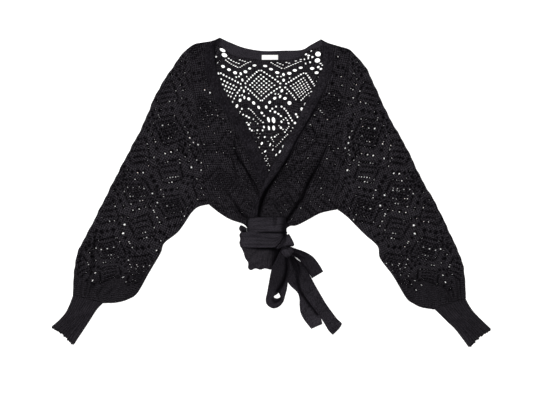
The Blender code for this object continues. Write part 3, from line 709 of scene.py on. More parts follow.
@dataclass(frozen=True)
class StraightKnit:
    """Knit that lies straight, apart from a pull towards the gathered waist."""

    origin: tuple[float, float]
    turn: float
    pull: float = 0.0
    reach: float = 150.0
    # Places seen in the photograph, a row each: column, row, x, y. The knit is drawn to them.
    anchors: Route = ()
    slack: float = 60.0
    ease: float = 0.002
    columns: range = range(-6, 7)
    rows: range = range(-4, 5)

    def place(self, stitches: Points) -> Points:
        """Find where knit places lie in the plan.

        Args:
            stitches: The knit places.

        Returns:
            Their points in the plan.
        """
        spot = self.undrawn(stitches)
        if not self.anchors:
            return spot
        anchors = np.array(self.anchors)
        known = anchors[:, :2] * (CHART.column, CHART.row)
        near = self.nearness(known, known) + self.ease * np.eye(len(known))
        pulls = np.linalg.solve(near, anchors[:, 2:] - self.undrawn(known))
        return spot + self.nearness(stitches, known) @ pulls

    def nearness(self, stitches: Points, known: Points) -> Points:
        """Give how near knit places are to known ones, from 0 to 1."""
        apart = ((stitches[:, None] - known[None]) ** 2).sum(axis=2)
        return np.exp(-apart / (2 * self.slack**2))

    def undrawn(self, stitches: Points) -> Points:
        """Find where knit places lie before the knit is drawn to its anchors.

        Args:
            stitches: The knit places.

        Returns:
            Their points in the plan.
        """
        angle = math.radians(self.turn)
        cos, sin = math.cos(angle), math.sin(angle)
        column, row = stitches[:, 0], stitches[:, 1]
        spot = np.stack([column * cos - row * sin, column * sin + row * cos], axis=1) + self.origin
        away = spot - DRAPE.waist
        near = bell(np.linalg.norm(away, axis=1), self.reach)
        return spot - away * (self.pull * near)[:, None]


@dataclass(frozen=True)
class SleeveKnit:
    """Knit whose columns run beside a sleeve's outer edge and draw together at the cuff."""

    edge: Route
    inwards: float
    start: tuple[float, float] = (0.0, 0.0)
    wobble: tuple[float, float] = (2.6, 3.4)
    gather_from: float = 545.0
    gathered: float = 0.5
    size: float = 1.0
    edge_points: int = 60
    evenings: int = 6
    columns: range = range(-1, 6)
    rows: range = range(-1, 6)

    def place(self, stitches: Points) -> Points:
        """Find where knit places lie in the plan.

        Args:
            stitches: The knit places.

        Returns:
            Their points in the plan.
        """
        edge = even(smooth(self.edge), self.edge_points)
        along = np.gradient(edge, axis=0)
        for _ in range(self.evenings):
            along[1:-1] = (along[:-2] + along[1:-1] * 2 + along[2:]) / 4
        along /= np.linalg.norm(along, axis=1)[:, None]
        total = float(lengths(edge)[-1])
        length = np.linspace(0.0, total, len(edge))
        sway = np.sin(stitches[:, 1] / 34 + stitches[:, 0] / 90) + 0.6 * np.sin(stitches[:, 1] / 15.5 + 2)
        lean = np.sin(stitches[:, 0] / 29 + stitches[:, 1] / 70) + 0.5 * np.sin(stitches[:, 0] / 13 + 1)
        row = stitches[:, 1] * self.size + self.start[1] + self.wobble[1] * lean
        inner = np.clip(row, 0.0, total)
        spine = np.stack([np.interp(inner, length, edge[:, k]) for k in (0, 1)], axis=1)
        heading = np.stack([np.interp(inner, length, along[:, k]) for k in (0, 1)], axis=1)
        spine += heading * (row - inner)[:, None]
        across = sideways(heading) * self.inwards
        narrow = 1.0 - (1.0 - self.gathered) * fade(row, self.gather_from, total)
        column = stitches[:, 0] * self.size + self.start[0] + self.wobble[0] * sway
        return spine + across * (column * narrow)[:, None]


def unravel(points: Points, knit: Knit, known: Points, places: Points) -> Points:
    """Find the knit places of points in the plan.

    Args:
        points: The points in the plan.
        knit: How the knit lies.
        known: Points in the plan whose knit places are known.
        places: The knit places of the known points.

    Returns:
        The knit place of each point.
    """
    tries, step, farthest, least = 4, 0.5, 20.0, 1e-3
    guess = np.empty_like(points)
    for k, point in enumerate(points):
        guess[k] = places[((known - point) ** 2).sum(axis=1).argmin()]
    for _ in range(tries):
        here = knit.place(guess)
        by_column = knit.place(guess + (step, 0.0)) - here
        by_row = knit.place(guess + (0.0, step)) - here
        miss = points - here
        size = crossed(by_column, by_row)
        size = np.where(np.abs(size) < least, least, size)
        guess[:, 0] += step * np.clip(crossed(miss, by_row) / size, -farthest, farthest)
        guess[:, 1] += step * np.clip(crossed(by_column, miss) / size, -farthest, farthest)
    return guess


@dataclass(frozen=True)
class LaceChart:
    """One repeat of the lace, charted in columns and rows from the middle of a diamond."""

    column: float = 5.85
    row: float = 4.4
    columns: int = 16
    rows: int = 36
    mesh: tuple[float, float] = (4.5, 3.2)
    small: tuple[float, float] = (4.45, 4.05)
    large: tuple[float, float] = (8.7, 7.9)
    tall: tuple[float, float] = (5.6, 8.4)
    tiny: tuple[float, float] = (3.6, 3.6)
    narrow: float = 0.8
    zigzag: Route = ((2, 11), (4, 9), (6, 7))
    tall_rows: tuple[float, float] = (6.1, 2.8)
    tiny_places: Route = ((-2.1, 4.6), (2.1, 4.2), (-0.9, 4.7))
    tip_row: float = 2.2
    rim: float = 0.8

    def diamond(self, column: float, row: float, width: float) -> list[tuple[float, float]]:
        """Place the eyelets along the four sides of a diamond.

        Args:
            column: The column of its middle.
            row: The row of its middle.
            width: Its width, as a share of a full one's.

        Returns:
            The column and row of each eyelet.
        """
        pitch, tip = 0.93, 7.5
        return [
            (column + side * (0.5 + pitch * k) * width, row + end * (tip - pitch * k))
            for k in range(8) for side in (-1, 1) for end in (-1, 1)
        ]

    def eyelets(self) -> Points:
        """List the eyelets of one repeat.

        Returns:
            A row for each eyelet: the knit place of its middle, its width and its height, in mm.
        """
        half_columns, half_rows = self.columns / 2, self.rows / 2
        found = []
        for i in range(-5, 6):
            for j in range(-5, 6):
                if abs(i) + abs(j) <= 5 and (i + j) % 2:
                    found.append((i, j, *self.mesh))
        for spot in self.diamond(0, 0, 1.0) + self.diamond(half_columns, half_rows, self.narrow):
            found.append((*spot, *self.small))
        for offset in (-2, 0, 2):
            for k in range(-2, 3):
                found.append((half_columns + offset + k, half_rows + offset - k, *self.small))
        for end in (-1, 1):
            for column, row in self.zigzag:
                found += [(side * column, end * row, *self.large) for side in (-1, 1)]
            found += [(half_columns, end * row, *self.tall) for row in self.tall_rows]
            for column, row in self.tiny_places:
                found.append((half_columns + column, end * row, *self.tiny))
            for side in (-1, 1):
                found.append((side, half_rows + end * self.tip_row, *self.tall))
        return np.array(found) * (self.column, self.row, 1.0, 1.0)

    def spread(self, rows: Points, knit: Knit) -> Points:
        """Repeat rows over a knit's repeats.

        Args:
            rows: Rows whose first two columns are a knit place.
            knit: The knit that says how many repeats there are.

        Returns:
            The rows of every repeat.
        """
        wide, high = self.columns * self.column, self.rows * self.row
        shifts = [(i * wide, j * high) for i in knit.columns for j in knit.rows]
        copies = np.repeat(rows[None], len(shifts), axis=0)
        copies[:, :, :2] += np.array(shifts)[:, None]
        return copies.reshape(-1, rows.shape[1])

    def nodes(self) -> Points:
        """Give every stitch crossing of one repeat, in mm."""
        i, j = np.meshgrid(np.arange(self.columns), np.arange(self.rows))
        return np.stack([i.ravel() * self.column, j.ravel() * self.row], axis=1)


CHART = LaceChart()


# Shaders


class Tone:
    """A shader socket that takes part in Python arithmetic."""

    def __init__(self, shader: "Shader", socket: bpy.types.NodeSocket) -> None:
        """Wrap a socket of a shader."""
        self.shader = shader
        self.socket = socket

    def math(self, operation: str, other: "Tone | float" = 0.0, swapped: bool = False) -> "Tone":
        """Add a Math node.

        Args:
            operation: The node's operation.
            other: The second value.
            swapped: Whether the second value comes first.

        Returns:
            The node's result.
        """
        first, second = (other, self) if swapped else (self, other)
        return self.shader.node("ShaderNodeMath", {"operation": operation}, {0: first, 1: second})

    def __add__(self, other: "Tone | float") -> "Tone":
        """Add."""
        return self.math("ADD", other)

    __radd__ = __add__

    def __mul__(self, other: "Tone | float") -> "Tone":
        """Multiply."""
        return self.math("MULTIPLY", other)

    def __sub__(self, other: "Tone | float") -> "Tone":
        """Subtract."""
        return self.math("SUBTRACT", other)

    def __rsub__(self, other: "Tone | float") -> "Tone":
        """Subtract from."""
        return self.math("SUBTRACT", other, swapped=True)

    def fraction(self) -> "Tone":
        """Give the part after the point."""
        return self.math("FRACT")

    def size(self) -> "Tone":
        """Give the value without its sign."""
        return self.math("ABSOLUTE")

    def kept(self) -> "Tone":
        """Keep the value between 0 and 1."""
        return self.shader.node("ShaderNodeClamp", {}, {0: self})


class Shader:
    """A material under construction, in the garment's yarn."""

    def __init__(self, name: str) -> None:
        """Start a material with a Principled surface.

        Args:
            name: The material's name.
        """
        self.material = bpy.data.materials.new(name)
        self.material.use_nodes = True
        self.tree = self.material.node_tree
        self.surface = self.tree.nodes["Principled BSDF"]

    def add(self, kind: str, settings: dict, inputs: dict) -> bpy.types.Node:
        """Add any node.

        Args:
            kind: The node's type.
            settings: Its settings, set first.
            inputs: The values or links of its sockets.

        Returns:
            The node.
        """
        node = self.tree.nodes.new(kind)
        for name, value in settings.items():
            setattr(node, name, value)
        for name, value in inputs.items():
            if isinstance(value, Tone):
                self.tree.links.new(value.socket, node.inputs[name])
            else:
                node.inputs[name].default_value = value
        return node

    def node(self, kind: str, settings: dict, inputs: dict, output: int | str = 0) -> Tone:
        """Add any node and give one of its results."""
        return Tone(self, self.add(kind, settings, inputs).outputs[output])

    def blend(self, share: "Tone | float", first: Sequence[float], second: Sequence[float]) -> Tone:
        """Mix two colours.

        Args:
            share: How much of the second colour there is.
            first: The first colour.
            second: The second colour.

        Returns:
            The mixed colour.
        """
        node = self.add("ShaderNodeMix", {"data_type": "RGBA"}, {0: share})
        node.inputs[6].default_value = (*first, 1.0)
        node.inputs[7].default_value = (*second, 1.0)
        return Tone(self, node.outputs[2])

    def knit_place(self) -> tuple[Tone, Tone, Tone]:
        """Add the knit place, in mm.

        Returns:
            The place as a vector, its column and its row.
        """
        place = self.node("ShaderNodeUVMap", {"uv_map": "knit"}, {})
        parts = self.add("ShaderNodeSeparateXYZ", {}, {0: place})
        return place, Tone(self, parts.outputs[0]), Tone(self, parts.outputs[1])

    def grain(self, place: Tone, scale: tuple[float, float, float], detail: float) -> Tone:
        """Add noise on the knit place.

        Args:
            place: The knit place.
            scale: About how many grains there are to a millimetre, for each axis.
            detail: How much finer noise lies on it.

        Returns:
            The noise, from 0 to 1.
        """
        vector = self.node("ShaderNodeVectorMath", {"operation": "MULTIPLY"}, {0: place, 1: scale})
        return self.node("ShaderNodeTexNoise", {}, {"Vector": vector, "Scale": 1.0, "Detail": detail})

    def shade(self) -> Tone:
        """Give the shade painted on the piece: 1 on open cloth, less in its creases and eyelets."""
        return self.node("ShaderNodeAttribute", {"attribute_name": "shade"}, {}, "Fac")

    def finish(self, colour: Tone, height: Tone, distance: float, constants: dict) -> bpy.types.Material:
        """Connect the surface.

        Args:
            colour: The base colour.
            height: The relief, from 0 to 1.
            distance: How deep the relief is, in metres.
            constants: Values of the surface's own sockets.

        Returns:
            The material.
        """
        relief = {"Height": height, "Distance": distance, "Strength": 1.0}
        bump = self.node("ShaderNodeBump", {}, relief, "Normal")
        self.tree.links.new(colour.socket, self.surface.inputs["Base Color"])
        self.tree.links.new(bump.socket, self.surface.inputs["Normal"])
        for name, value in constants.items():
            self.surface.inputs[name].default_value = value
        return self.material


@dataclass(frozen=True)
class Yarn:
    """A knit finish in black yarn, with its stitches as relief.

    Attributes:
        name: The material's name.
        dark: The darkest colour, taken in the painted shade of its grooves and pores.
        light: The colour of the fullest yarn.
        wale: The distance between stitch columns, in mm.
        course: The distance between stitch rows, in mm.
        slant: How far a stitch's legs lean, as a share of a row.
        depth: The relief's depth, in mm.
        ridge: The distance between ribs, in mm.
        ridges: How much the ribs show, as painted shade in the grooves between them.
        speckle: How uneven the yarn is.
        open: How light it is on the whole.
        net: The distance between the pores of painted shade, in mm.
        nets: How deep the painted shade in the pores is.
        stitches: How much the stitches show, as painted highlight on their legs.
        streaks: How uneven it is along the columns.
        haze: How uneven it is over larger patches.
        roughness: The surface's roughness.
    """

    name: str
    dark: tuple[float, float, float]
    light: tuple[float, float, float]
    wale: float
    course: float
    slant: float
    depth: float
    ridge: float
    ridges: float
    speckle: float
    open: float
    net: float = 4.0
    nets: float = 0.0
    stitches: float = 0.25
    streaks: float = 1.0
    haze: float = 0.4
    roughness: float = 0.92

    def make(self) -> bpy.types.Material:
        """Build the material: V stitches, uneven yarn, pores of painted shade and the shade painted on the
        piece.

        Returns:
            The material.
        """
        shader = Shader(self.name)
        place, column, row = shader.knit_place()
        # The stitches, the grooves between the ribs and the pores paint the knit's relief in colour: painted
        # highlight on the yarn, painted shade in the grooves and pores. Fuzz, streaks and patches are the
        # yarn's own uneven tone.
        leg = ((column * (1 / self.wale)).fraction() - 0.5).size()
        lean = ((row * (1 / self.course) + leg * self.slant).fraction() - 0.5).size()
        rib = 1.0 - (leg - 0.25).size() * 4.0
        stitch = (rib * 0.6 + (0.5 - lean) * 1.1 * rib).kept()
        fuzz = shader.grain(place, (0.50, 0.42, 1.0), 3.0)
        streak = shader.grain(place, (0.26, 0.055, 1.0), 2.0)
        patch = shader.grain(place, (0.030, 0.020, 1.0), 1.0)
        sway = (patch - 0.5) * 6.0
        across = ((column + sway) * (1 / self.net)).fraction() - 0.5
        along = ((row + sway) * (1 / self.net)).fraction() - 0.5
        pore = (1.15 - (across.size() + along.size()) * 2.2).kept()
        groove = ((column * (1 / self.ridge)).fraction() - 0.5).size() * 2.0 - 0.5
        uneven = (fuzz - 0.5) * 2.0 + (streak - 0.5) * self.streaks + (patch - 0.5) * self.haze
        knitted = self.open + (stitch - 0.3) * self.stitches - groove * self.ridges
        tone = knitted + uneven * self.speckle - pore * self.nets
        colour = shader.blend((tone * shader.shade()).kept(), self.dark, self.light)
        height = stitch * 0.5 + fuzz * 0.3 - groove * 0.2
        constants = {"Roughness": self.roughness, "Sheen Weight": 0.0, "Specular IOR Level": 0.02}
        return shader.finish(colour, height, self.depth * MM, constants)


@dataclass(frozen=True)
class Tape:
    """Woven white tape with a soft sheen."""

    name: str = "woven_tape"
    pitch: float = 0.7

    def make(self) -> bpy.types.Material:
        """Build the material: a fine weave in off-white.

        Returns:
            The material.
        """
        shader = Shader(self.name)
        place, column, row = shader.knit_place()
        warp = ((column * (1 / self.pitch)).fraction() - 0.5).size()
        weft = ((row * (1 / self.pitch)).fraction() - 0.5).size()
        weave = (warp + weft).kept()
        tone = (weave * 0.5 + shader.grain(place, (0.6, 0.6, 1.0), 2.0) * 0.5) * shader.shade()
        colour = shader.blend(tone.kept(), (0.62, 0.61, 0.59), (0.86, 0.85, 0.84))
        constants = {"Roughness": 0.55, "Sheen Weight": 0.2}
        return shader.finish(colour, weave, 0.15 * MM, constants)


LACE_YARN = Yarn(
    "lace_yarn", (0.0008, 0.0006, 0.0010), (0.050, 0.0455, 0.0535), wale=2.925, course=2.2, slant=0.9,
    depth=0.8, ridge=5.85, ridges=0.10, speckle=1.45, open=0.345, net=5.2, nets=0.95, streaks=0.35,
    haze=0.15,
)
FINE_YARN = Yarn(
    "fine_yarn", (0.0010, 0.0008, 0.0013), (0.046, 0.0415, 0.0505), wale=1.35, course=1.6, slant=0.6,
    depth=0.2, ridge=2.7, ridges=0.03, speckle=0.80, open=0.36, stitches=0.08, streaks=0.25,
)
RIB_YARN = Yarn(
    "rib_yarn", (0.0010, 0.0008, 0.0013), (0.043, 0.039, 0.046), wale=1.8, course=1.6, slant=0.6,
    depth=0.5, ridge=3.6, ridges=0.10, speckle=0.62, open=0.34,
)


@dataclass
class Finishes:
    """The materials of the garment, made once."""

    made: dict[Slot, bpy.types.Material] = field(default_factory=dict)

    def of(self, slot: Slot) -> bpy.types.Material:
        """Find a slot's material, after making all of them at the first call.

        Args:
            slot: The slot.

        Returns:
            The slot's material.
        """
        if not self.made:
            self.made = {
                Slot.LACE: LACE_YARN.make(), Slot.FINE: FINE_YARN.make(),
                Slot.RIBBED: RIB_YARN.make(), Slot.TAPE: Tape().make(),
            }
        return self.made[slot]


FINISHES = Finishes()


# Meshes of cloth


def put(name: str, data: bpy.types.ID) -> bpy.types.Object:
    """Put a mesh, a light or a camera into the scene.

    Args:
        name: The object's name.
        data: What it shows.

    Returns:
        The object, at the origin.
    """
    made = bpy.data.objects.new(name, data)
    bpy.context.scene.collection.objects.link(made)
    return made


@dataclass(frozen=True)
class Cloth:
    """A finished piece's mesh in mm, with its knit places and shades."""

    points: Points
    faces: list[tuple[int, ...]]
    places: Points
    shades: Numbers

    def make(self, name: str, slot: Slot) -> bpy.types.Object:
        """Make the piece's object.

        Args:
            name: The object's name.
            slot: The slot that it takes its finish from.

        Returns:
            The object, at the origin.
        """
        mesh = bpy.data.meshes.new(name)
        mesh.from_pydata((self.points * MM).tolist(), [], self.faces)
        corners = np.empty(len(mesh.loops), int)
        mesh.loops.foreach_get("vertex_index", corners)
        mesh.uv_layers.new(name="knit").data.foreach_set("uv", self.places[corners].ravel())
        mesh.attributes.new("shade", "FLOAT", "POINT").data.foreach_set("value", self.shades)
        mesh.materials.append(FINISHES.of(slot))
        mesh.shade_smooth()
        mesh.validate()
        return put(name, mesh)


def tube(rings: Points, places: Points, shades: Numbers, closed: bool = False) -> Cloth:
    """Join rings of points into a tube.

    Args:
        rings: The rings, as sections by points by x, y and z, each turning the same way.
        places: The knit place of each point.
        shades: The shade of each point.
        closed: Whether the last ring joins the first one; if not, both ends are capped.

    Returns:
        The cloth.
    """
    count, around = rings.shape[:2]
    faces = []
    for s in range(count if closed else count - 1):
        after = (s + 1) % count
        for k in range(around):
            turn = (k + 1) % around
            faces.append((s * around + k, s * around + turn, after * around + turn, after * around + k))
    if not closed:
        faces.append(tuple(reversed(range(around))))
        faces.append(tuple((count - 1) * around + k for k in range(around)))
    return Cloth(rings.reshape(-1, 3), faces, places.reshape(-1, 2), shades.reshape(-1))


@dataclass(frozen=True)
class Ribbon:
    """A strip of cloth between two edges, with rounded edges and its own relief.

    Attributes:
        left: One edge's points.
        right: The other edge's points.
        low: The height of the underside.
        thickness: The cloth's thickness, in one number or one for each section.
        relief: The height added above it, from the place along the strip and the share across it.
        across: How many points a section has on each side.
        shade: The shade, from the same two.
        roundness: How much of the thickness the rounded edges take.
    """

    left: Points
    right: Points
    low: Height | Numbers
    thickness: Numbers | float = BAND
    relief: Callable[[Numbers, Numbers], Numbers] | None = None
    across: int = 11
    shade: Callable[[Numbers, Numbers], Numbers] | None = None
    roundness: float = 0.32

    def cloth(self) -> Cloth:
        """Mesh the strip.

        Returns:
            The closed strip.
        """
        count = len(self.left)
        share = 0.5 - 0.5 * np.cos(np.linspace(0.0, np.pi, self.across))
        spread = np.broadcast_to(share, (count, self.across))
        plan = self.left[:, None] + (self.right - self.left)[:, None] * spread[..., None]
        if callable(self.low):
            low = self.low(plan.reshape(-1, 2)).reshape(count, self.across)
        else:
            low = np.broadcast_to(self.low[:, None].clip(0), (count, self.across))
        length = lengths((self.left + self.right) / 2)
        along = np.broadcast_to(length[:, None], (count, self.across))
        thick = np.broadcast_to(np.asarray(self.thickness, float).reshape(-1, 1), (count, self.across))
        edge = self.roundness * np.abs(2 * spread - 1) ** 6
        top = low + thick * (1 - edge)
        if self.relief:
            top = top + self.relief(along, spread) * (1 - edge * 2)
        bottom = low + thick * edge
        wide = np.linalg.norm(self.right - self.left, axis=1)[:, None] * spread
        upper = np.concatenate([plan, top[..., None]], axis=2)
        lower = np.concatenate([plan, bottom[..., None]], axis=2)[:, ::-1]
        shades = self.shade(along, spread) if self.shade else np.ones((count, self.across))
        places = np.stack([along, wide], axis=2)
        rings = np.concatenate([upper, lower], axis=1)
        way = -1 if self.turned() else 1
        return tube(
            rings[::way],
            np.concatenate([places, places[:, ::-1]], axis=1)[::way],
            np.concatenate([shades, shades[:, ::-1]], axis=1)[::way],
        )

    def turned(self) -> bool:
        """Tell whether the rings have to be taken backwards for the faces to point out.

        Returns:
            True where the right edge lies to the left of the way along.
        """
        middle = len(self.left) // 2
        along = self.left[middle] - self.left[middle - 1]
        return float(crossed(along, self.right[middle] - self.left[middle])) > 0


@dataclass(frozen=True)
class Panel:
    """A flat-cut panel of knit.

    Attributes:
        outline: Its outline.
        low: The height of its underside.
        knit: How its knit lies.
        top: The height of its upper side, where that doesn't follow the underside.
        thickness: Its thickness elsewhere.
        lace: Whether it has the chart's eyelets.
        marks: Points that carry its creases and painted shadow lines.
        plain: Tells at which knit places it has no eyelets.
        ripple: The height added to its upper side, from the knit place.
        dim: The shade, from the point in the plan.
        opening: How far the eyelets open, from the point in the plan.
        uneven: How uneven the eyelets are.
        extra: Eyelets placed one by one, as rows of x, y, width and height.
        edge: How far its walls bulge out halfway up.
        overlap: How far it passes its outline.
        dense: Whether it has twice as many points inside.
        spacing: The least distance of points inside from the edge and from the marks.
        mark_gaps: The least distance of marks from the edge, and from each other.
        clear: How far points inside stay from an eyelet's rim.
        border: How far an eyelet's rim stays from the edge.
        apart: How far the chart's eyelets stay from those placed one by one.
        sinks: How far the upper side sinks at an eyelet and at the edge, and rises elsewhere.
    """

    outline: Points
    low: Height
    knit: Knit
    top: Height | None = None
    thickness: float = LACE
    lace: bool = True
    marks: Points | None = None
    plain: Callable[[Points], Numbers] | None = None
    ripple: Callable[[Points], Numbers] | None = None
    dim: Callable[[Points], Numbers] | None = None
    opening: Callable[[Points], Numbers] | None = None
    uneven: float = 0.25
    extra: Route = ()
    edge: float = 0.5
    overlap: float = 0.2
    dense: bool = False
    spacing: float = 2.2
    mark_gaps: tuple[float, float] = (1.5, 1.2)
    clear: float = 0.9
    border: float = 1.6
    apart: float = 4.0
    sinks: tuple[float, float, float] = (0.2, 0.25, 0.12)

    def cloth(self) -> Cloth:
        """Mesh the panel flat with its eyelets, lift it to its height and give it thickness.

        Returns:
            The closed shell.
        """
        border = inset(self.outline, -self.overlap)
        inner = inset(border, self.edge)
        holes = self.holes(inner, np.random.default_rng(SEED))
        nodes, spots = self.crossings(inner, holes)
        angles = math.tau * (np.arange(EYELET_POINTS) + 0.5) / EYELET_POINTS
        circle = np.stack([np.cos(angles), np.sin(angles)], axis=1)
        ring_places = (holes[:, None, :2] + circle * (holes[:, None, 2:] / 2 + CHART.rim)).reshape(-1, 2)
        lip_places = (holes[:, None, :2] + circle * holes[:, None, 2:] / 2).reshape(-1, 2)
        plan = np.concatenate([inner, self.knit.place(ring_places), spots])
        mid = np.concatenate([border, self.knit.place(lip_places), spots])
        places = np.concatenate([unravel(inner, self.knit, spots, nodes), ring_places, nodes])
        kind = np.concatenate([
            np.full(len(inner), ON_EDGE),
            np.repeat(np.arange(len(holes)), EYELET_POINTS),
            np.full(len(spots), IN_CLOTH),
        ])
        return self.shell(plan, mid, places, kind, inner)

    def crossings(self, inner: Points, holes: Points) -> tuple[Points, Points]:
        """Place the points inside the cloth: stitch crossings, and marks that carry the creases.

        Args:
            inner: The outline that they stay inside.
            holes: The eyelets that they keep clear of.

        Returns:
            Their knit places, and where they lie in the plan.
        """
        nodes = CHART.spread(CHART.nodes(), self.knit)
        if self.dense:
            nodes = np.concatenate([nodes, nodes + (CHART.column / 2, 0.0)])
        spots = self.knit.place(nodes)
        keep = inside(spots, inner)
        nodes, spots = nodes[keep], spots[keep]
        keep = edge_distance(spots, inner) > self.spacing
        nodes, spots = nodes[keep], spots[keep]
        if self.marks is not None:
            marks = self.marks[inside(self.marks, inner)]
            marks = marks[edge_distance(marks, inner) > self.mark_gaps[0]]
            crowded = ((marks[:, None] - marks[None]) ** 2).sum(axis=2) < self.mark_gaps[1] ** 2
            marks = marks[~np.tril(crowded, -1).any(axis=1)]
            far = ((spots[:, None] - marks[None]) ** 2).sum(axis=2).min(axis=1) > self.spacing**2
            mark_places = unravel(marks, self.knit, spots, nodes)
            nodes, spots = np.concatenate([nodes[far], mark_places]), np.concatenate([spots[far], marks])
        if len(holes):
            reach = holes[:, 2:] / 2 + CHART.rim + self.clear
            gap = (((nodes[:, None] - holes[None, :, :2]) / reach) ** 2).sum(axis=2).min(axis=1)
            nodes, spots = nodes[gap > 1.0], spots[gap > 1.0]
        return nodes, spots

    def holes(self, inner: Points, rng: np.random.Generator) -> Points:
        """Choose the eyelets that lie clear of the edge, creases and plain stretches.

        Args:
            inner: The outline that they stay inside.
            rng: The draw that makes them a little uneven.

        Returns:
            Their knit places, widths and heights.
        """
        if not self.lace:
            return np.empty((0, 4))
        holes = CHART.spread(CHART.eyelets(), self.knit)
        holes[:, :2] += rng.uniform(-self.uneven, self.uneven, (len(holes), 2))
        holes[:, 2:] *= rng.uniform(1.1 - self.uneven, 1.1, (len(holes), 1))
        spots = self.knit.place(holes[:, :2])
        keep = inside(spots, inner)
        holes, spots = holes[keep], spots[keep]
        known, where = holes[:, :2].copy(), spots
        if self.opening:
            holes[:, 2:] *= self.opening(spots)[:, None]
            holes, spots = holes[holes[:, 2] > 0.5], spots[holes[:, 2] > 0.5]
        for x, y, width, height in self.extra:
            reach = (width / 2 + self.apart, height / 2 + self.apart)
            keep = (((spots - (x, y)) / reach) ** 2).sum(axis=1) > 1.0
            holes, spots = holes[keep], spots[keep]
        keep = edge_distance(spots, inner) > holes[:, 2:].max(axis=1) / 2 + CHART.rim + self.border
        if self.marks is not None:
            keep &= DRAPE.crease(spots)[1] <= 0.0
        if self.plain:
            keep &= ~self.plain(holes[:, :2])
        return self.with_extra(holes[keep], known, where)

    def with_extra(self, holes: Points, known: Points, spots: Points) -> Points:
        """Add the eyelets that are placed one by one.

        Args:
            holes: The chart's eyelets.
            known: Knit places.
            spots: Where they lie in the plan.

        Returns:
            All eyelets.
        """
        if not self.extra:
            return holes
        extra = np.array(self.extra, float)
        places = unravel(extra[:, :2], self.knit, spots, known)
        spans = [self.knit.place(places + half) - self.knit.place(places - half) for half in np.eye(2) / 2]
        grown = np.stack([np.linalg.norm(span, axis=1) for span in spans], axis=1)
        return np.concatenate([holes, np.column_stack([places, extra[:, 2:] / grown])])

    def shell(self, plan: Points, mid: Points, places: Points, kind: Numbers, inner: Points) -> Cloth:
        """Turn the flat points into a closed shell.

        Args:
            plan: Every point in the plan.
            mid: Where the wall at each edge point bulges to, halfway up.
            places: Every point's knit place.
            kind: ON_EDGE, IN_CLOTH, or the number of the eyelet that the point lies round.
            inner: The outline.

        Returns:
            The closed shell.
        """
        sides = [(k, (k + 1) % len(inner)) for k in range(len(inner))]
        for ring in range(int(kind.max()) + 1):
            start = len(inner) + ring * EYELET_POINTS
            sides += [(start + k, start + (k + 1) % EYELET_POINTS) for k in range(EYELET_POINTS)]
        vectors = [Vector(point) for point in plan.tolist()]
        made, _, faces, origins, _, _ = delaunay_2d_cdt(vectors, sides, [], 1, 1e-5, True)
        made = np.array([tuple(point) for point in made])
        origin = np.array([ids[0] if ids else -1 for ids in origins])
        kinds = np.where(origin >= 0, kind[origin], IN_CLOTH)
        triangles = np.array([face for face in faces if len(face) == 3])
        corner = kinds[triangles]
        same = (corner[:, 0] >= 0) & (corner[:, 0] == corner[:, 1]) & (corner[:, 1] == corner[:, 2])
        centres = made[triangles].mean(axis=1)
        triangles = triangles[~same & inside(centres, inner)]
        a, b, c = (made[triangles[:, k]] for k in range(3))
        triangles = np.where((crossed(b - a, c - a) < 0)[:, None], triangles[:, ::-1], triangles)
        used, triangles = np.unique(triangles, return_inverse=True)
        triangles = triangles.reshape(-1, 3)
        made, origin, kinds = made[used], origin[used], kinds[used]
        spots = np.where(origin[:, None] >= 0, mid[origin], made)
        where = np.where(origin[:, None] >= 0, places[origin], 0.0)
        return self.lifted(made, spots, where, kinds, triangles)

    def lifted(self, plan: Points, mid: Points, places: Points, kinds: Numbers, triangles: Points) -> Cloth:
        """Lift a flat mesh to its height and close it with rounded walls.

        Args:
            plan: The mesh's points.
            mid: Where the wall bulges to at each point.
            places: Every point's knit place.
            kinds: What each point is, as in shell.
            triangles: The mesh's faces, seen from above.

        Returns:
            The closed shell.
        """
        count = len(plan)
        edges = np.concatenate([triangles[:, [0, 1]], triangles[:, [1, 2]], triangles[:, [2, 0]]])
        keys = edges.min(axis=1) * count + edges.max(axis=1)
        _, back, uses = np.unique(keys, return_inverse=True, return_counts=True)
        border = edges[uses[back] == 1]
        rim = np.unique(border)
        number = np.full(count, -1)
        number[rim] = np.arange(len(rim)) + 2 * count
        low = self.low(plan)
        high = self.top(plan) if self.top else low + self.thickness
        if self.ripple:
            high = high + self.ripple(places)
        if self.lace:
            at_eyelet, at_edge, elsewhere = self.sinks
            high = high + np.where(kinds >= 0, -at_eyelet, np.where(kinds == ON_EDGE, -at_edge, elsewhere))
        half = (low[rim] + high[rim]) / 2
        points = np.concatenate([
            np.column_stack([plan, high]), np.column_stack([plan, low]), np.column_stack([mid[rim], half]),
        ])
        a, b = border[:, 0], border[:, 1]
        upper = np.stack([b, a, number[a], number[b]], axis=1)
        lower = np.stack([number[b], number[a], a + count, b + count], axis=1)
        faces = triangles.tolist() + (triangles[:, ::-1] + count).tolist() + upper.tolist() + lower.tolist()
        # Painted shade: darker round the eyelets and at the edge on top, round the eyelets underneath, and
        # darker still on the walls.
        shade = np.where(kinds >= 0, 0.5, np.where(kinds == ON_EDGE, 0.8, 1.0))
        if self.dim:
            shade = shade * self.dim(plan)
        below = np.where(kinds >= 0, 0.62, 1.0)
        shades = np.concatenate([shade, below, shade[rim] * 0.5])
        all_places = np.concatenate([places, places, places[rim]])
        return Cloth(points, faces, all_places, shades)


def crease_dim(points: Points) -> Numbers:
    """Give the shade of the upper layer, which is dim where a crease closes on itself."""
    side = 0.82 + 0.06 * fade(points[:, 0], -30, 0)
    return side * (1.0 - 0.9 * DRAPE.crease(points)[1])


def closed(points: Points) -> Numbers:
    """Give how far the eyelets of the fronts open, which is less towards the waist."""
    left = points[:, 0] < -20
    return np.where(left, 0.24, 0.42) + np.where(left, 0.36, 0.38) * fade(points[:, 1], 0, 230)


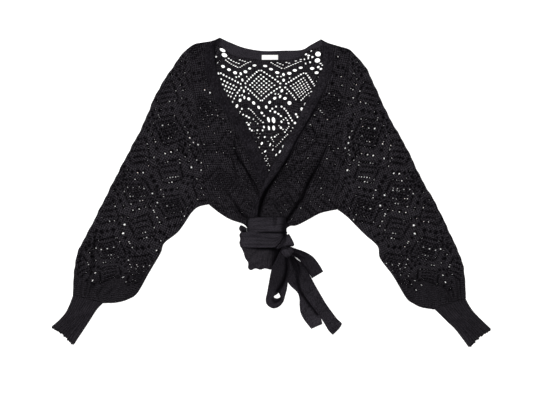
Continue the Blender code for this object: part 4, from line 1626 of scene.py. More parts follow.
def dress(
    cloth: Cloth, name: str, node: str, slot: Slot, flat_size: tuple[float, float], area: float,
) -> None:
    """Make a piece and say what it stands for.

    Args:
        cloth: Its mesh.
        name: Its name.
        node: The CAD node that it replaces.
        slot: The slot of its finish.
        flat_size: Width and length of its cut, in mm. Not used.
        area: The cut's area, in square centimetres. Not used.
    """
    # Multiply in the painted shadow lines of creases and contacts and the painted highlights on rims.
    lined = replace(cloth, shades=cloth.shades * shaded(name, cloth.points[:, :2]))
    piece = lined.make(name, slot)
    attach(piece, "root")
    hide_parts(node)
    size = (flat_size[0] * MM, flat_size[1] * MM)
    area * 1e-4
    log.info("%s: %d faces on %s", name, len(cloth.faces), node)


# Sub-assemblies


@dataclass(frozen=True)
class Back:
    """The back panel, the band round the back neck and the blank label."""

    knit: StraightKnit = StraightKnit(
        (-22.0, 258.0), 0.0,
        anchors=(
            (0, 0, -22.1, 257.9), (0, 7.5, -32.2, 292.2), (0, -7.5, -26.2, 221.6),
            (8, 0, 23.8, 257.9), (-8, 0, -70.1, 257.9), (16, 0, 72.2, 251.2),
            (16, 7.5, 77, 287.2), (16, -7.5, 63.8, 218.8), (-16, 7.5, -124.6, 285.7),
            (8, 2.8, 29.5, 269.9), (8, -2.8, 25.9, 246.4), (-8, 2.8, -69.6, 270.6),
            (-8, -2.8, -65, 245.2), (8, 10.5, 24.7, 295.8), (-8, 10.5, -79.9, 297.7),
            (-2, 11, -39.4, 306.4), (2, 11, -13.4, 304.4), (4, 9, 0.2, 297.2), (6, 7, 13.4, 289.1),
            (-4, 9, -51.4, 299.2), (-6, 7, -61.2, 291), (10, 7, 43.9, 287.6), (12, 9, 57.4, 294.6),
            (14, 11, 71.3, 300.8), (-10, 7, -88.6, 289.3), (-12, 9, -102, 296.8),
            (-14, 11, -115.4, 303.5), (18, 11, 97.4, 297), (20, 9, 109.4, 288.1),
            (-8, 6.1, -71.5, 283.6), (8, 6.1, 31.4, 281.9), (-6, -7, -52.1, 222.4),
            (-4, -9, -41.8, 214), (-2, -11, -31.7, 204.8), (2, -11, -13, 206), (4, -9, -2.2, 215.6),
            (6, -7, 9.8, 225.2), (10, -7, 34.3, 223.6), (12, -9, 43.4, 214), (14, -11, 51.8, 203.2),
            (18, -11, 72.7, 201.2), (-10, -7, -74.6, 220), (-12, -9, -82.1, 207.2),
            (-8, -10.5, -65, 210.4), (8, -10.5, 18.2, 215.2), (0, -18, -0.7, 165),
            (13.6, -17, 51.8, 172), (-2.4, -17, -21.4, 169.1), (5.4, -13.3, -3.4, 196.4),
            (-5.4, -13.3, -45.4, 197.2), (13.6, -19, 43.4, 146.8), (9.1, -24.6, 20.6, 120.4),
            (-2.4, -19, -23.8, 155.2), (-6, -23.5, -35.8, 124), (-2, -25, -22.6, 118.7),
            (2, -25, -3.4, 114.4), (14, -25, 28.3, 111.2), (12, -27, 19.9, 98.8),
            (10, -29, 11, 90.4), (4, -27, 2.6, 103.6),
        ),
    )
    # Stretched eyelets beside the neck's corners, a row each: x, y, width, height.
    corner_eyelets: Route = (
        (-117.5, 342.0, 15.5, 7.5), (-113, 330, 14.5, 9.5), (-127, 319, 7, 6), (-130.5, 313.5, 6, 6),
        (111.8, 332.5, 14, 12), (110.4, 317.4, 13.5, 11), (94.5, 340, 6, 4.5), (83, 332, 6, 4.5),
        (89.3, 329, 7, 4.5), (88.6, 323, 9, 5.5), (80.4, 320.5, 6, 5.5), (83.5, 310.5, 6.5, 5.5),
        (91.2, 312.5, 8.5, 5.5), (112.5, 301.5, 6.5, 6), (118.6, 297, 6, 6),
    )
    # Eyelets at the foot of the V, a row each in steps of 0.2 mm right of and below a corner:
    # across, down, width, height.
    foot_corner: tuple[float, float] = (-109.0, 203.2)
    foot_eyelets: Route = (
        (190, 10, 16, 20), (170, 45, 20, 22), (160, 66, 14, 14), (205, 80, 20, 14), (245, 97, 24, 18),
        (275, 115, 24, 18), (335, 135, 22, 16), (355, 160, 18, 16), (375, 186, 22, 16), (272, 8, 16, 14),
        (300, 25, 14, 14), (320, 46, 14, 14), (340, 68, 14, 14), (358, 90, 12, 14), (376, 111, 12, 14),
        (396, 131, 14, 14), (416, 151, 16, 14), (441, 171, 24, 14), (430, 60, 26, 26), (455, 92, 22, 18),
        (555, 8, 18, 20), (530, 36, 20, 18), (588, 48, 26, 24),
        (628, 71, 24, 18), (658, 96, 22, 18), (700, 8, 18, 18), (722, 33, 14, 16), (742, 61, 18, 16),
        (757, 90, 18, 16), (775, 119, 18, 18), (792, 150, 18, 18), (840, 75, 24, 24), (857, 107, 18, 24),
        (908, 12, 24, 34), (828, 180, 26, 24), (510, 140, 24, 56), (570, 145, 34, 60),
        (515, 240, 20, 46), (572, 240, 28, 48), (250, 175, 20, 12), (272, 200, 26, 24), (292, 178, 12, 10),
        (285, 250, 22, 24), (310, 270, 22, 22), (345, 280, 20, 14), (362, 304, 22, 14), (376, 266, 16, 16),
        (440, 268, 16, 20), (455, 228, 18, 26), (408, 312, 12, 14), (400, 336, 18, 16), (385, 360, 16, 14),
        (372, 381, 12, 12), (362, 400, 12, 12), (465, 345, 18, 24), (478, 318, 10, 10), (665, 165, 20, 24),
        (690, 140, 14, 14), (717, 120, 18, 12), (737, 147, 16, 12), (750, 182, 22, 18), (658, 236, 22, 26),
        (635, 212, 12, 10), (685, 262, 20, 20), (705, 287, 22, 18), (724, 262, 14, 14), (740, 243, 12, 12),
        (754, 223, 14, 14), (785, 270, 24, 22), (800, 240, 12, 14), (585, 345, 18, 16), (606, 326, 10, 10),
        (628, 314, 10, 8), (545, 355, 14, 18), (557, 378, 10, 12), (570, 402, 12, 12), (738, 318, 12, 12),
        (720, 334, 10, 10), (703, 350, 14, 12), (680, 376, 12, 12), (656, 404, 14, 12), (636, 426, 12, 12),
        (616, 446, 12, 10), (598, 464, 10, 10), (430, 425, 26, 38), (530, 440, 18, 42), (505, 402, 10, 12),
        (565, 452, 12, 12), (395, 476, 22, 24), (685, 462, 22, 36), (645, 525, 20, 46), (602, 562, 16, 32),
        (562, 500, 16, 28), (470, 520, 22, 32), (435, 541, 16, 12), (480, 575, 14, 12), (460, 608, 16, 18),
        (498, 610, 12, 16), (482, 634, 20, 14), (505, 668, 12, 10), (489, 689, 14, 10), (522, 691, 10, 10),
        (514, 748, 18, 12),
    )
    foot_growth: float = 1.25
    foot_plain: float = 80.0
    # Outline of that part, and of what the fronts leave open to view.
    foot: Route = (
        (-108, 203.6), (74, 203.6), (74, 186), (30, 104), (2, 44), (-12, 38), (-34, 66), (-64, 112),
        (-108, 186),
    )
    opened: Route = ((-160, 372), (-160, 250), (-70, 130), (0, 40), (60, 120), (150, 280), (150, 372))
    label_size: tuple[float, float, float] = (39.0, 11.5, 0.8)
    label_middle: tuple[float, float] = (-3.5, 324.5)
    neck_points: int = 110

    def foot_rows(self) -> Route:
        """List the eyelets at the foot of the V, no larger than leaves a rim between them.

        Returns:
            A row for each: x, y, width and height, in mm.
        """
        step, rounds, smaller, spare = 0.2, 24, 0.96, 0.2
        rows = np.array(self.foot_eyelets, float) * step
        rows[:, 0] = self.foot_corner[0] + rows[:, 0]
        rows[:, 1] = self.foot_corner[1] - rows[:, 1]
        lowest = rows[:, 1] < self.foot_corner[1] - self.foot_plain
        rows[:, 2:] *= np.where(lowest, 1.0, self.foot_growth)[:, None]
        for _ in range(rounds):
            gap = rows[:, None, :2] - rows[None, :, :2]
            reach = (rows[:, None, 2:] + rows[None, :, 2:]) / 2 + 2 * CHART.rim + spare
            near = np.sqrt(((gap / reach) ** 2).sum(axis=2))
            np.fill_diagonal(near, np.inf)
            rows[:, 2:] *= np.where(near.min(axis=1) < 1.0, smaller, 1.0)[:, None]
        return tuple(tuple(row) for row in rows.tolist())

    def outline(self) -> Points:
        """Join the back's outline.

        Returns:
            The outline, from the left shoulder round by the waist.
        """
        top = CUT.waist_top
        return joined(
            smooth((CUT.neck_low[0], *CUT.left_shoulder[1:])),
            smooth(CUT.left_armhole),
            smooth(CUT.left_hem),
            straight((CUT.waist_left, -82), (CUT.waist_left, top)),
            straight((CUT.waist_left, top), (CUT.waist_right, top)),
            straight((CUT.waist_right, top), CUT.right_hem[-1]),
            smooth(CUT.right_hem)[::-1],
            smooth(CUT.right_armhole)[::-1],
            smooth((CUT.neck_low[-1], *CUT.right_shoulder[1:]))[::-1],
            smooth(CUT.neck_low)[::-1],
        )

    def build(self) -> None:
        """Build the back, its neck band and its label."""
        opened, foot = np.array(self.opened, float), np.array(self.foot, float)

        def opening(points: Points) -> Numbers:
            """Close the eyelets a little below the fronts, and leave the foot to its own ones."""
            return np.where(inside(points, opened), 1.0, 0.72) * ~inside(points, foot)

        def covered(points: Points) -> Numbers:
            """Paint shade on what the fronts cover."""
            return np.where(inside(points, opened), 0.9, 0.15)

        panel = Panel(
            self.outline(), flat(0.0), self.knit, opening=opening, dim=covered,
            extra=self.corner_eyelets + self.foot_rows(),
        )
        dress(panel.cloth(), "back", "back_panel", Slot.LACE, (400, 454), 1344)
        count = self.neck_points
        top, low = even(smooth(CUT.neck_top), count), even(smooth(CUT.neck_low), count)
        share = np.linspace(0, 1, count)
        raised = 2.2 - share**3 + 1.2 * bell(share - 0.17, 0.12)
        top = top + np.column_stack([np.zeros(count), raised])
        band = Ribbon(top, low, flat(0.0), BAND + 0.6, lambda s, v: 0.25 * np.cos(math.tau * s / 5.2), 9)
        dress(band.cloth(), "neck_edge", "neck_band", Slot.FINE, (22, 285), 54.7)
        self.build_label()

    def build_label(self) -> None:
        """Build the blank label, sewn down at its two ends."""
        width, height, thick = self.label_size
        x, y = self.label_middle
        across = np.linspace(-width / 2, width / 2, 24) + x
        left = np.column_stack([across, np.full(24, y - height / 2)])
        right = np.column_stack([across, np.full(24, y + height / 2)])
        label = Ribbon(
            left, right, flat(BAND + 0.7), thick,
            lambda s, v: 0.35 * np.sin(np.pi * s / width) - 0.3 * (np.minimum(s, width - s) < 2.0), 7,
        )
        dress(label.cloth(), "blank_label", "label", Slot.TAPE, (39, 11.5), 4.4)


@dataclass(frozen=True)
class Sleeve:
    """A sleeve, folded along its outer edge, with its ribbed cuff."""

    side: Side
    armhole: Route
    outer: Route
    inner: Route
    cuff: Route
    area: float
    start: tuple[float, float] = (-30.0, 40.0)
    under_start: tuple[float, float] = (-12.0, 71.0)
    sheer: float = 0.0
    cuff_ribs: int = 13
    cuff_height: float = 5.0
    cuff_width: float = 62.0

    def outline(self) -> Points:
        """Give the sleeve's outline: armhole, under edge, cuff seam and outer edge.

        Returns:
            The outline, which runs along the armhole first.
        """
        seam = straight(self.cuff[0][0:2], self.cuff[0][2:4])
        outer = smooth(self.outer)
        length = FINE_STEP * np.arange(len(outer))
        wave = 0.5 * np.sin(length / 4.4) + 0.5 * np.sin(length / 9.1 + 1.0)
        wave *= fade(length, 0, 40) * fade(length[::-1], 0, 60)
        slimmer = (1.2 if self.side is Side.LEFT else 0.7) * self.side.inwards
        wave += slimmer * fade(length, 260, 330) * fade(length[::-1], 0, 30)
        outer = outer + sideways(headings(outer)) * wave[:, None]
        inner = smooth(self.inner)
        length = FINE_STEP * np.arange(len(inner))
        wider = 1.2 * fade(length, 20, 90) * fade(length[::-1], 10, 60)
        inner = inner + wider[:, None] * (0.8 * self.side.inwards, -0.8)
        return joined(smooth(self.armhole), inner, seam[::-1], outer[::-1])

    def build(self) -> None:
        """Build the under and the upper layer and the cuff."""
        side = self.side.value
        outline = self.outline()
        under_knit = SleeveKnit(self.outer, self.side.inwards, self.under_start, size=1.015)
        fold = even(smooth(self.outer), 60)

        def opening(points: Points) -> Numbers:
            """Close the eyelets along the fold."""
            sheer = self.sheer * fade(points[:, 1], -80, 20)
            return 0.3 + (0.52 + sheer) * fade(follow(points, fold)[0], 14, 42)

        # The under layer gets an even painted shade, as it lies under the upper one.
        under = Panel(outline, flat(0.0), under_knit, dim=flat(0.25), opening=opening, uneven=0.45)
        name = f"sleeve_{side}_lower_layer"
        size = (300, 625)
        dress(under.cloth(), name, f"sleeve_{side}_under", Slot.LACE, size, self.area)
        knit = SleeveKnit(self.outer, self.side.inwards, self.start)
        row_end = float(lengths(smooth(self.outer))[-1]) - self.start[1]

        def near_cuff(places: Points) -> Numbers:
            """Tell which knit places lie in the last rows, which have no eyelets."""
            return places[:, 1] > row_end - 31.0 - 12.0 * np.sin(places[:, 0] / 23)

        def ribs(places: Points) -> Numbers:
            """Raise soft ribs towards the cuff."""
            lines = np.cos(math.tau * places[:, 0] / (CHART.column * 2))
            return 0.8 * lines * fade(places[:, 1], row_end - 95, row_end - 25)

        over = Panel(
            outline, DRAPE.upper, knit, plain=near_cuff, ripple=ribs, dense=True,
            dim=lambda points: 1.0 - 0.15 * fade(points[:, 1], -170, -215),
            opening=lambda points: 0.88 + 0.5 * self.sheer * fade(points[:, 1], -80, 20), uneven=0.45,
        )
        name = f"sleeve_{side}_upper_layer"
        dress(over.cloth(), name, f"sleeve_{side}_over", Slot.LACE, size, self.area)
        self.build_cuff()

    def build_cuff(self) -> None:
        """Build the cuff: a flat tube with ribs all round it."""
        rows = smooth(self.cuff, LINE_STEP)
        count = self.cuff_ribs * 8
        share = np.linspace(0.0, 1.0, count + 1)
        share = np.concatenate([share, share[-2:0:-1]])
        upper = np.arange(len(share)) <= count
        edge = fade(np.minimum(share, 1 - share), 0.0, 0.07)
        between = swing(self.cuff_ribs * (share - 0.5))
        rib = 0.9 * (1 - between)
        top = self.cuff_height * (0.5 + 0.5 * edge) + rib * edge
        low = 0.25 * self.cuff_height * (1 - edge)
        outside, hollow = [], []
        last = len(rows) - 1
        heading = rows[last, 0:2] + rows[last, 2:4] - rows[last - 4, 0:2] - rows[last - 4, 2:4]
        heading = heading / np.linalg.norm(heading)
        turn = math.tau * share + np.where(upper, 0.0, 0.9)
        frill = 1.5 * np.sin(5.3 * turn + 0.6) + 1.0 * np.sin(12.1 * turn) + 2.4
        for number, (outer_x, outer_y, inner_x, inner_y, curl) in enumerate(rows):
            start, end = np.array([outer_x, outer_y]), np.array([inner_x, inner_y])
            sag = np.column_stack([np.zeros(len(share)), -curl * np.sin(np.pi * share)])
            sag = sag + heading * (frill * fade(number, last - 4, last) * edge)[:, None]
            plan = start + (end - start) * share[:, None] + sag
            outside.append(np.column_stack([plan, np.where(upper, top, low)]))
            within = start + (end - start) * (0.035 + 0.93 * share)[:, None] + sag
            gape = 0.5 * edge * np.where(upper, 1.0, -1.0)
            hollow.append(np.column_stack([within, self.cuff_height / 2 + gape]))
        rings = np.array(outside + hollow[::-1])
        length = np.arange(len(rows)) * LINE_STEP
        length = np.concatenate([length, length[::-1]])[:, None]
        round_it = (share + np.where(upper, 0, 1)) * self.cuff_width
        places = np.stack(np.broadcast_arrays(round_it, length), axis=2)
        # Painted shade in the grooves between the ribs, and deeper painted shade inside the cuff.
        shades = np.broadcast_to(0.85 - 0.34 * between, rings.shape[:2]).copy()
        shades[len(rows):] *= 0.5
        if self.side is Side.LEFT:
            rings, places, shades = rings[:, ::-1], places[:, ::-1], shades[:, ::-1]
        cloth = tube(rings, places, shades, closed=True)
        side = self.side.value
        dress(cloth, f"cuff_{side}_rib", f"cuff_{side}", Slot.RIBBED, (132, 92), 120)


@dataclass(frozen=True)
class Fronts:
    """The two fronts, of which the right one laps over the left one, with their bands."""

    left_knit: StraightKnit = StraightKnit((-165, 200), 10, pull=0.45, reach=170)
    right_knit: StraightKnit = StraightKnit((148, 214), -12, pull=0.45, reach=170)

    def left_outline(self) -> Points:
        """Join the left front's outline.

        Returns:
            The outline, from the shoulder round by the waist.
        """
        edge = smooth([row[2:4] for row in CUT.left_band])
        top = CUT.waist_top
        return joined(
            smooth(CUT.left_shoulder), smooth(CUT.left_armhole), smooth(CUT.left_hem),
            straight((CUT.waist_left, -82), (CUT.waist_left, top)),
            straight((CUT.waist_left, top), edge[-1]), edge[::-1],
        )

    def right_outline(self) -> Points:
        """Join the right front's outline.

        Returns:
            The outline, from the front edge round by the waist.
        """
        edge = smooth([row[2:4] for row in CUT.right_band])
        top = CUT.waist_top
        return joined(
            edge, straight(edge[-1], (CUT.waist_right, top)),
            straight((CUT.waist_right, top), CUT.right_hem[-1]),
            smooth(CUT.right_hem)[::-1], smooth(CUT.right_armhole)[::-1],
            smooth(CUT.right_shoulder)[::-1],
        )

    def build(self) -> None:
        """Build both fronts and both bands."""
        lines = [line.marks() for line in SHADES if FRONTS[0] in line.pieces or FRONTS[1] in line.pieces]
        marks = np.concatenate([DRAPE.marks(), *lines])
        for side, outline, low, knit, size, area in (
            ("left", self.left_outline(), DRAPE.upper, self.left_knit, (185, 443), 350),
            ("right", self.right_outline(), DRAPE.lap, self.right_knit, (220, 444), 421),
        ):
            front = Panel(outline, low, knit, marks=marks, dim=crease_dim, opening=closed, uneven=0.4)
            dress(
                front.cloth(), f"{side}_front", f"front_{side}", Slot.LACE, size, area,
            )
        self.build_band(CUT.left_band, "left", DRAPE.upper, 127.9)
        self.build_band(CUT.right_band, "right", DRAPE.band, 99.6)

    def build_band(self, rows: Route, side: str, low: Height, area: float) -> None:
        """Build one front band.

        Args:
            rows: Its sections.
            side: The name of its side.
            low: The height that it lies at.
            area: Its area, in square centimetres.
        """
        sections = smooth(rows, SECTION_STEP)
        length = SECTION_STEP * len(sections)
        tone = 0.41 if side == "left" else 0.58

        def folded(along: Numbers) -> Numbers:
            """Tell how far the band is drawn into folds, which is near the waist."""
            return fade(along, length - 110, length - 30)

        def relief(along: Numbers, share: Numbers) -> Numbers:
            """Raise the folds and the fine ribs."""
            folds = 1.2 * np.cos(math.tau * 2.6 * share) * folded(along)
            return folds + 0.18 * np.cos(math.tau * along / 5.2)

        def shade(along: Numbers, share: Numbers) -> Numbers:
            """Paint shade in the folds' grooves and make the yarn uneven.

            Args:
                along: The places along it.
                share: The places across it, from 0 to 1.

            Returns:
                The shade at each place.
            """
            strands = 1.0 + 0.16 * np.cos(math.tau * 4.2 * share + 1.7 * np.sin(along / 41))
            grain = np.random.default_rng(SEED).normal(1.0, 0.5, share.shape).clip(0.1, 2.2)
            return (tone - folded(along) * 0.34 * swing(2.6 * share)) * strands * grain

        band = Ribbon(sections[:, 0:2], sections[:, 2:4], low, BAND + 0.5, relief, 17, shade)
        dress(
            band.cloth(), f"{side}_front_edge", f"band_{side}", Slot.FINE, (27, 480), area,
        )


@dataclass(frozen=True)
class Waist:
    """The gathered waist: wraps, what they hold and what comes out beside them."""

    upper_x: tuple[float, float] = (-59.0, 36.5)
    lower_x: tuple[float, float] = (-77.0, 38.0)
    upper_top: float = -58.0
    lower_top: float = -94.0
    lower_end: float = -132.0
    sweep: float = 34.0
    heights: tuple[float, float] = (28.0, 25.0)
    wall: float = 3.0
    exponent: float = 2.4
    arch_points: int = 48
    # Creases along the wraps, a row each: place across it at the left and at the right, depth,
    # width, where along the wrap it starts and ends to show.
    upper_creases: Route = (
        (0.30, 0.24, 1.0, 0.05, 0.15, 0.60), (0.66, 0.46, 1.3, 0.045, 0.20, 0.95),
        (0.80, 0.92, 1.0, 0.04, 0.00, 0.55), (0.12, 0.16, 0.7, 0.04, 0.40, 0.80),
    )
    lower_creases: Route = (
        (0.10, 0.55, 1.5, 0.05, 0.20, 0.85), (0.48, 0.62, 1.0, 0.05, 0.30, 0.90),
        (0.76, 0.84, 1.2, 0.045, 0.10, 0.90), (0.30, 0.30, 0.9, 0.05, 0.00, 0.35),
    )
    # Upright pleat in the upper wrap: its x, half width, depth, and how far up the wrap it goes.
    pleat: tuple[float, float, float, float] = (10.0, 3.2, 2.2, 0.45)
    # Gathered cloth above the wraps, a row for each section: y, half width, height.
    nose: Route = ((14, 12, 1.2), (0, 20, 4.5), (-30, 26, 9.5), (-57.8, 30, 12.5))
    ruffle_edge: Route = (
        (-72, -132.5), (-67, -144), (-63, -157), (-56, -168), (-56, -181), (-49, -186), (-38, -182),
        (-27, -185), (-15, -182), (-4, -184.5), (6, -183), (16, -176), (23, -163), (24.5, -150),
    )
    side_fold: Route = ((-59.3, -85), (-67, -80), (-74, -78), (-78, -86), (-73, -93.9), (-59.3, -93.9))
    wrap_end: Route = (
        (39, -101), (43, -100), (55, -124), (48, -129), (36, -130), (24, -133), (14, -136), (8, -132),
    )

    def swept(self, x: Numbers) -> Numbers:
        """Give the y of the lower wrap's lower edge, which sweeps up at the right."""
        return self.lower_end + self.sweep * fade(x, 0.0, self.lower_x[1]) ** 1.5

    def arch(self, span: tuple[float, float], height: float, floor: float, spare: float = 0.0) -> Points:
        """Draw a flat-bottomed arch.

        Args:
            span: The x of its left and right foot.
            height: Its height.
            floor: The z of its flat underside.
            spare: How far it stays inside that span and height.

        Returns:
            Rows of x and z, going round once from its right foot.
        """
        middle, half = sum(span) / 2, (span[1] - span[0]) / 2 - spare
        angle = np.linspace(0.0, np.pi, self.arch_points + 1)
        side = np.sign(np.cos(angle)) * np.abs(np.cos(angle)) ** (2 / self.exponent)
        up = np.sin(angle).clip(0) ** (2 / self.exponent)
        over = np.column_stack([middle + half * side, floor + (height - spare - floor) * up])
        under = np.linspace(-1.0, 1.0, self.arch_points + 1)[1:-1]
        return np.concatenate([over, np.column_stack([middle + half * under, np.full(len(under), floor)])])

    def build_wrap(self, name: str, upper: bool) -> None:
        """Build one wrap of the tie round the waist.

        Args:
            name: Its name.
            upper: Whether it is the upper one.
        """
        span = self.upper_x if upper else self.lower_x
        height = self.heights[0 if upper else 1]
        outside = self.arch(span, height, 0.0)
        within = self.arch(span, height, LACE, self.wall)
        edge = [0.0, 0.012, 0.03, 0.06, 0.09]
        shares = np.concatenate([edge, np.linspace(0.13, 0.87, 34), [1 - share for share in edge[::-1]]])
        x = outside[:, 0]
        start = self.upper_top if upper else self.lower_top
        end = np.full(len(x), self.lower_top) if upper else self.swept(x)
        rings, places, shades = [], [], []
        for share in shares:
            drop, shade = self.relief(share, x, upper)
            y = start + (end - start) * share
            high = outside[:, 1] - drop * (outside[:, 1] > 3.0)
            rings.append(np.column_stack([x + self.waver(share, x, upper), y, high]))
            places.append(np.column_stack([y, x]))
            shades.append(shade)
        for share in shares[::-1]:
            y = start + (end - start) * share
            pulled = within[:, 0] + self.waver(share, within[:, 0], upper)
            rings.append(np.column_stack([pulled, y, within[:, 1]]))
            places.append(np.column_stack([y, within[:, 0]]))
            # The inside of the wrap gets an even painted shade.
            shades.append(np.full(len(x), 0.4))
        cloth = tube(np.array(rings), np.array(places), np.array(shades), closed=True)
        node, width, length = ("wrap_upper", 37, 210) if upper else ("wrap_lower", 37, 262)
        area = width * length / 100
        dress(cloth, name, node, Slot.FINE, (width, length), area)

    def relief(self, share: float, x: Numbers, upper: bool) -> tuple[Numbers, Numbers]:
        """Shape a wrap's surface at a place across it.

        Args:
            share: The place across it, from 0 at its upper edge to 1.
            x: The places along it.
            upper: Whether it is the upper wrap.

        Returns:
            How far the surface drops, and its painted shade: darker in its rolled edges, creases, pleat and
            ends, with a painted highlight on the lower wrap's rolled rim.
        """
        span = self.upper_x if upper else self.lower_x
        across = (x - span[0]) / (span[1] - span[0])
        free = min(share, 1 - share)
        meets = share > 0.5 if upper else share < 0.5
        roll = 3.0 * (1 - free / 0.10) ** 2 if free < 0.10 else 0.0
        drop = np.full(len(x), roll) * (0.12 + 0.88 * fade(x, -40, -14) if meets else 1.0)
        shade = 1.0 - drop * 0.22
        if not upper:
            rim = bell(share - 0.93, 0.035) * fade(x, -50, 10)
            drop = drop - 0.9 * rim
            shade = shade + 0.25 * rim - 0.55 * bell(share - 0.84, 0.04) * fade(x, 0, 34)
        for left, right, depth, width, first, last in self.upper_creases if upper else self.lower_creases:
            where = left + (right - left) * across
            shows = fade(across, first - 0.12, first + 0.1) * fade(across, last + 0.12, last - 0.1)
            groove = bell(share - where, width) * shows
            drop = drop + depth * groove
            shade = shade - 0.36 * groove
        if upper:
            fold_x, half, depth, reach = self.pleat
            dent = bell(x - fold_x, half) * fade(share, reach + 0.15, reach - 0.15)
            drop = drop + depth * dent
            shade = shade - 0.5 * dent
        drop = drop + 0.3 * np.sin(math.tau * (share * 3.1 + across * 1.3))
        shade = shade * (1.0 - 0.55 * fade(across, 0.90, 1.0)) * (1.0 - 0.25 * fade(across, 0.10, 0.0))
        return drop, shade.clip(0.05, 1.3)

    def waver(self, share: float, x: Numbers, upper: bool) -> Numbers | float:
        """Tell how far a wrap's left side pulls in at a place across it.

        Args:
            share: The place across it, from 0 at its upper edge to 1.
            x: The places along it.
            upper: Whether it is the upper wrap, which stays straight.

        Returns:
            The distance for every place along it.
        """
        if upper:
            return 0.0
        rounded = 3.5 * max(0.0, 1 - share / 0.2) ** 2 + 2.0 * max(0.0, (share - 0.86) / 0.14) ** 2
        pulled = rounded + 0.9 * (1 + math.sin(share * 13.0 + 2.0))
        across = (x - self.lower_x[0]) / (self.lower_x[1] - self.lower_x[0])
        return pulled * (1 - 2 * across).clip(0) ** 3

    def build_bundle(self) -> None:
        """Build the gathered layers that the wraps hold, as one rounded solid."""
        count = self.arch_points
        angle = np.linspace(0.0, np.pi, count + 1)
        side = np.cos(angle)
        flat_side = np.linspace(-1.0, 1.0, count + 1)[1:-1]
        middle = DRAPE.waist[0]
        rows = []
        for y, half, height in smooth(self.nose, LINE_STEP):
            pleat = 0.8 * np.cos(9 * angle) * np.sin(angle) * min(1.0, height / 6)
            lift = np.maximum(0.5, height * (1 - side**2)) + pleat
            lift[[0, -1]] = 0.1
            over = np.column_stack([middle + half * side, np.full(count + 1, y), UPPER + lift])
            under = np.full((count - 1, 3), (0.0, y, UPPER))
            under[:, 0] = middle + half * flat_side
            rows.append(np.concatenate([over, under]))
        spare = self.wall + 0.4
        for span, height, start, end in (
            (self.upper_x, self.heights[0], self.upper_top - 0.4, self.lower_top + 0.1),
            (self.lower_x, self.heights[1], self.lower_top - 0.1, None),
        ):
            ring = self.arch(span, height, UPPER, spare)
            x = ring[:, 0]
            far = self.swept(x) + 1.6 if end is None else np.full(len(x), end)
            rows += [np.column_stack([x, y, ring[:, 1]]) for y in (np.full(len(x), start), far)]
        rings = np.array(rows)
        cloth = tube(rings, rings[:, :, :2], np.full(rings.shape[:2], 0.7))
        dress(cloth, "gathered_waist", "waist_gather", Slot.LACE, (110, 145), 150)

    def build_ruffle(self) -> None:
        """Build the gathered hem below the wraps, ribbed from the wrap to its free edge."""
        count = 150
        x = np.linspace(-66.0, 27.0, count)
        inner = np.column_stack([x, self.swept(x) + 0.5])
        outer = even(smooth(self.ruffle_edge, 2.0), count)
        wave = np.linspace(0.0, 1.0, count)

        def top(along: Numbers, share: Numbers) -> Numbers:
            """Slope down from the wrap to the free edge, with ribs and a frill.

            Args:
                along: The places along it.
                share: The places across it, from 0 to 1.

            Returns:
                The height above the band.
            """
            place = np.broadcast_to(wave[:, None], along.shape)
            under = fade(place, 0.70, 0.84)
            slope = (15.0 - (15.0 - 4.6) * share**0.8) * (1 - under) + 3.2 * under - BAND
            ribs = 0.35 * np.cos(math.tau * 24 * place) * (0.2 + 0.8 * fade(place, 0.3, 0.6)) * share
            frill = 1.1 * np.cos(math.tau * 6.5 * place + 0.8) * share * (1 - under)
            folds = 1.4 * np.cos(math.tau * 3.1 * place + 1.2) * (1 - share) * (1 - under)
            return slope + ribs + frill + folds

        def shade(along: Numbers, share: Numbers) -> Numbers:
            """Paint shade in the grooves and on what lies under the wrap.

            Args:
                along: The places along it.
                share: The places across it, from 0 to 1.

            Returns:
                The shade at each place.
            """
            place = np.broadcast_to(wave[:, None], along.shape)
            fan = np.cos(math.tau * 24 * place) * 0.10 * fade(place, 0.3, 0.6)
            fan = fan + 0.10 * np.cos(math.tau * (3.6 * share + 2.2 * place))
            hidden = fade(share, 0.16, 0.0) * fade(place, 0.15, 0.4) + fade(place, 0.62, 0.82)
            return (0.95 + fan) * (1.0 - 0.85 * hidden.clip(0, 1))

        ruffle = Ribbon(inner, outer, flat(0.0), BAND, top, 15, shade)
        dress(ruffle.cloth(), "hem_frill", "hem_ruffle", Slot.RIBBED, (85, 55), 38)

    def build_patch(self, name: str, node: str, outline: Points, top: Height, area: float) -> None:
        """Build a small fold of cloth.

        Args:
            name: Its name.
            node: The node that it replaces.
            outline: Its outline.
            top: The height of its upper side.
            area: Its area, in square centimetres.
        """

        def rounded(points: Points) -> Numbers:
            """Round the upper side down to the edge."""
            return 0.8 + (top(points) - 0.8) * fade(edge_distance(points, outline), -1.0, 4.0)

        x, y = outline[0].tolist()
        knit = StraightKnit((x, y), 20, columns=range(-1, 2), rows=range(-1, 2))
        patch = Panel(outline, flat(0.0), knit, rounded, lace=False, overlap=0.0, dense=True)
        size = (float(np.ptp(outline[:, 0])), float(np.ptp(outline[:, 1])))
        dress(patch.cloth(), name, node, Slot.FINE, size, area)

    def build(self) -> None:
        """Build the bundle, the two wraps and what comes out beside them."""
        self.build_bundle()
        self.build_wrap("upper_wrap", True)
        self.build_wrap("lower_wrap", False)
        self.build_ruffle()
        fold = joined(straight(self.side_fold[-1], self.side_fold[0], 2.0), smooth(self.side_fold, 2.0))
        self.build_patch("side_corner", "side_fold", fold, lambda p: 8.0 - 3.0 * fade(p[:, 0], -66, -77), 2.7)
        x = np.array([24.0, 27.0, 30.0, 33.0, 36.0])
        end = joined(smooth(self.wrap_end, 2.0), np.column_stack([x, self.swept(x)]))
        self.build_patch("wrap_tip", "wrap_end", end, lambda p: 13.0 - 5.0 * fade(p[:, 0], 36, 54), 9.0)


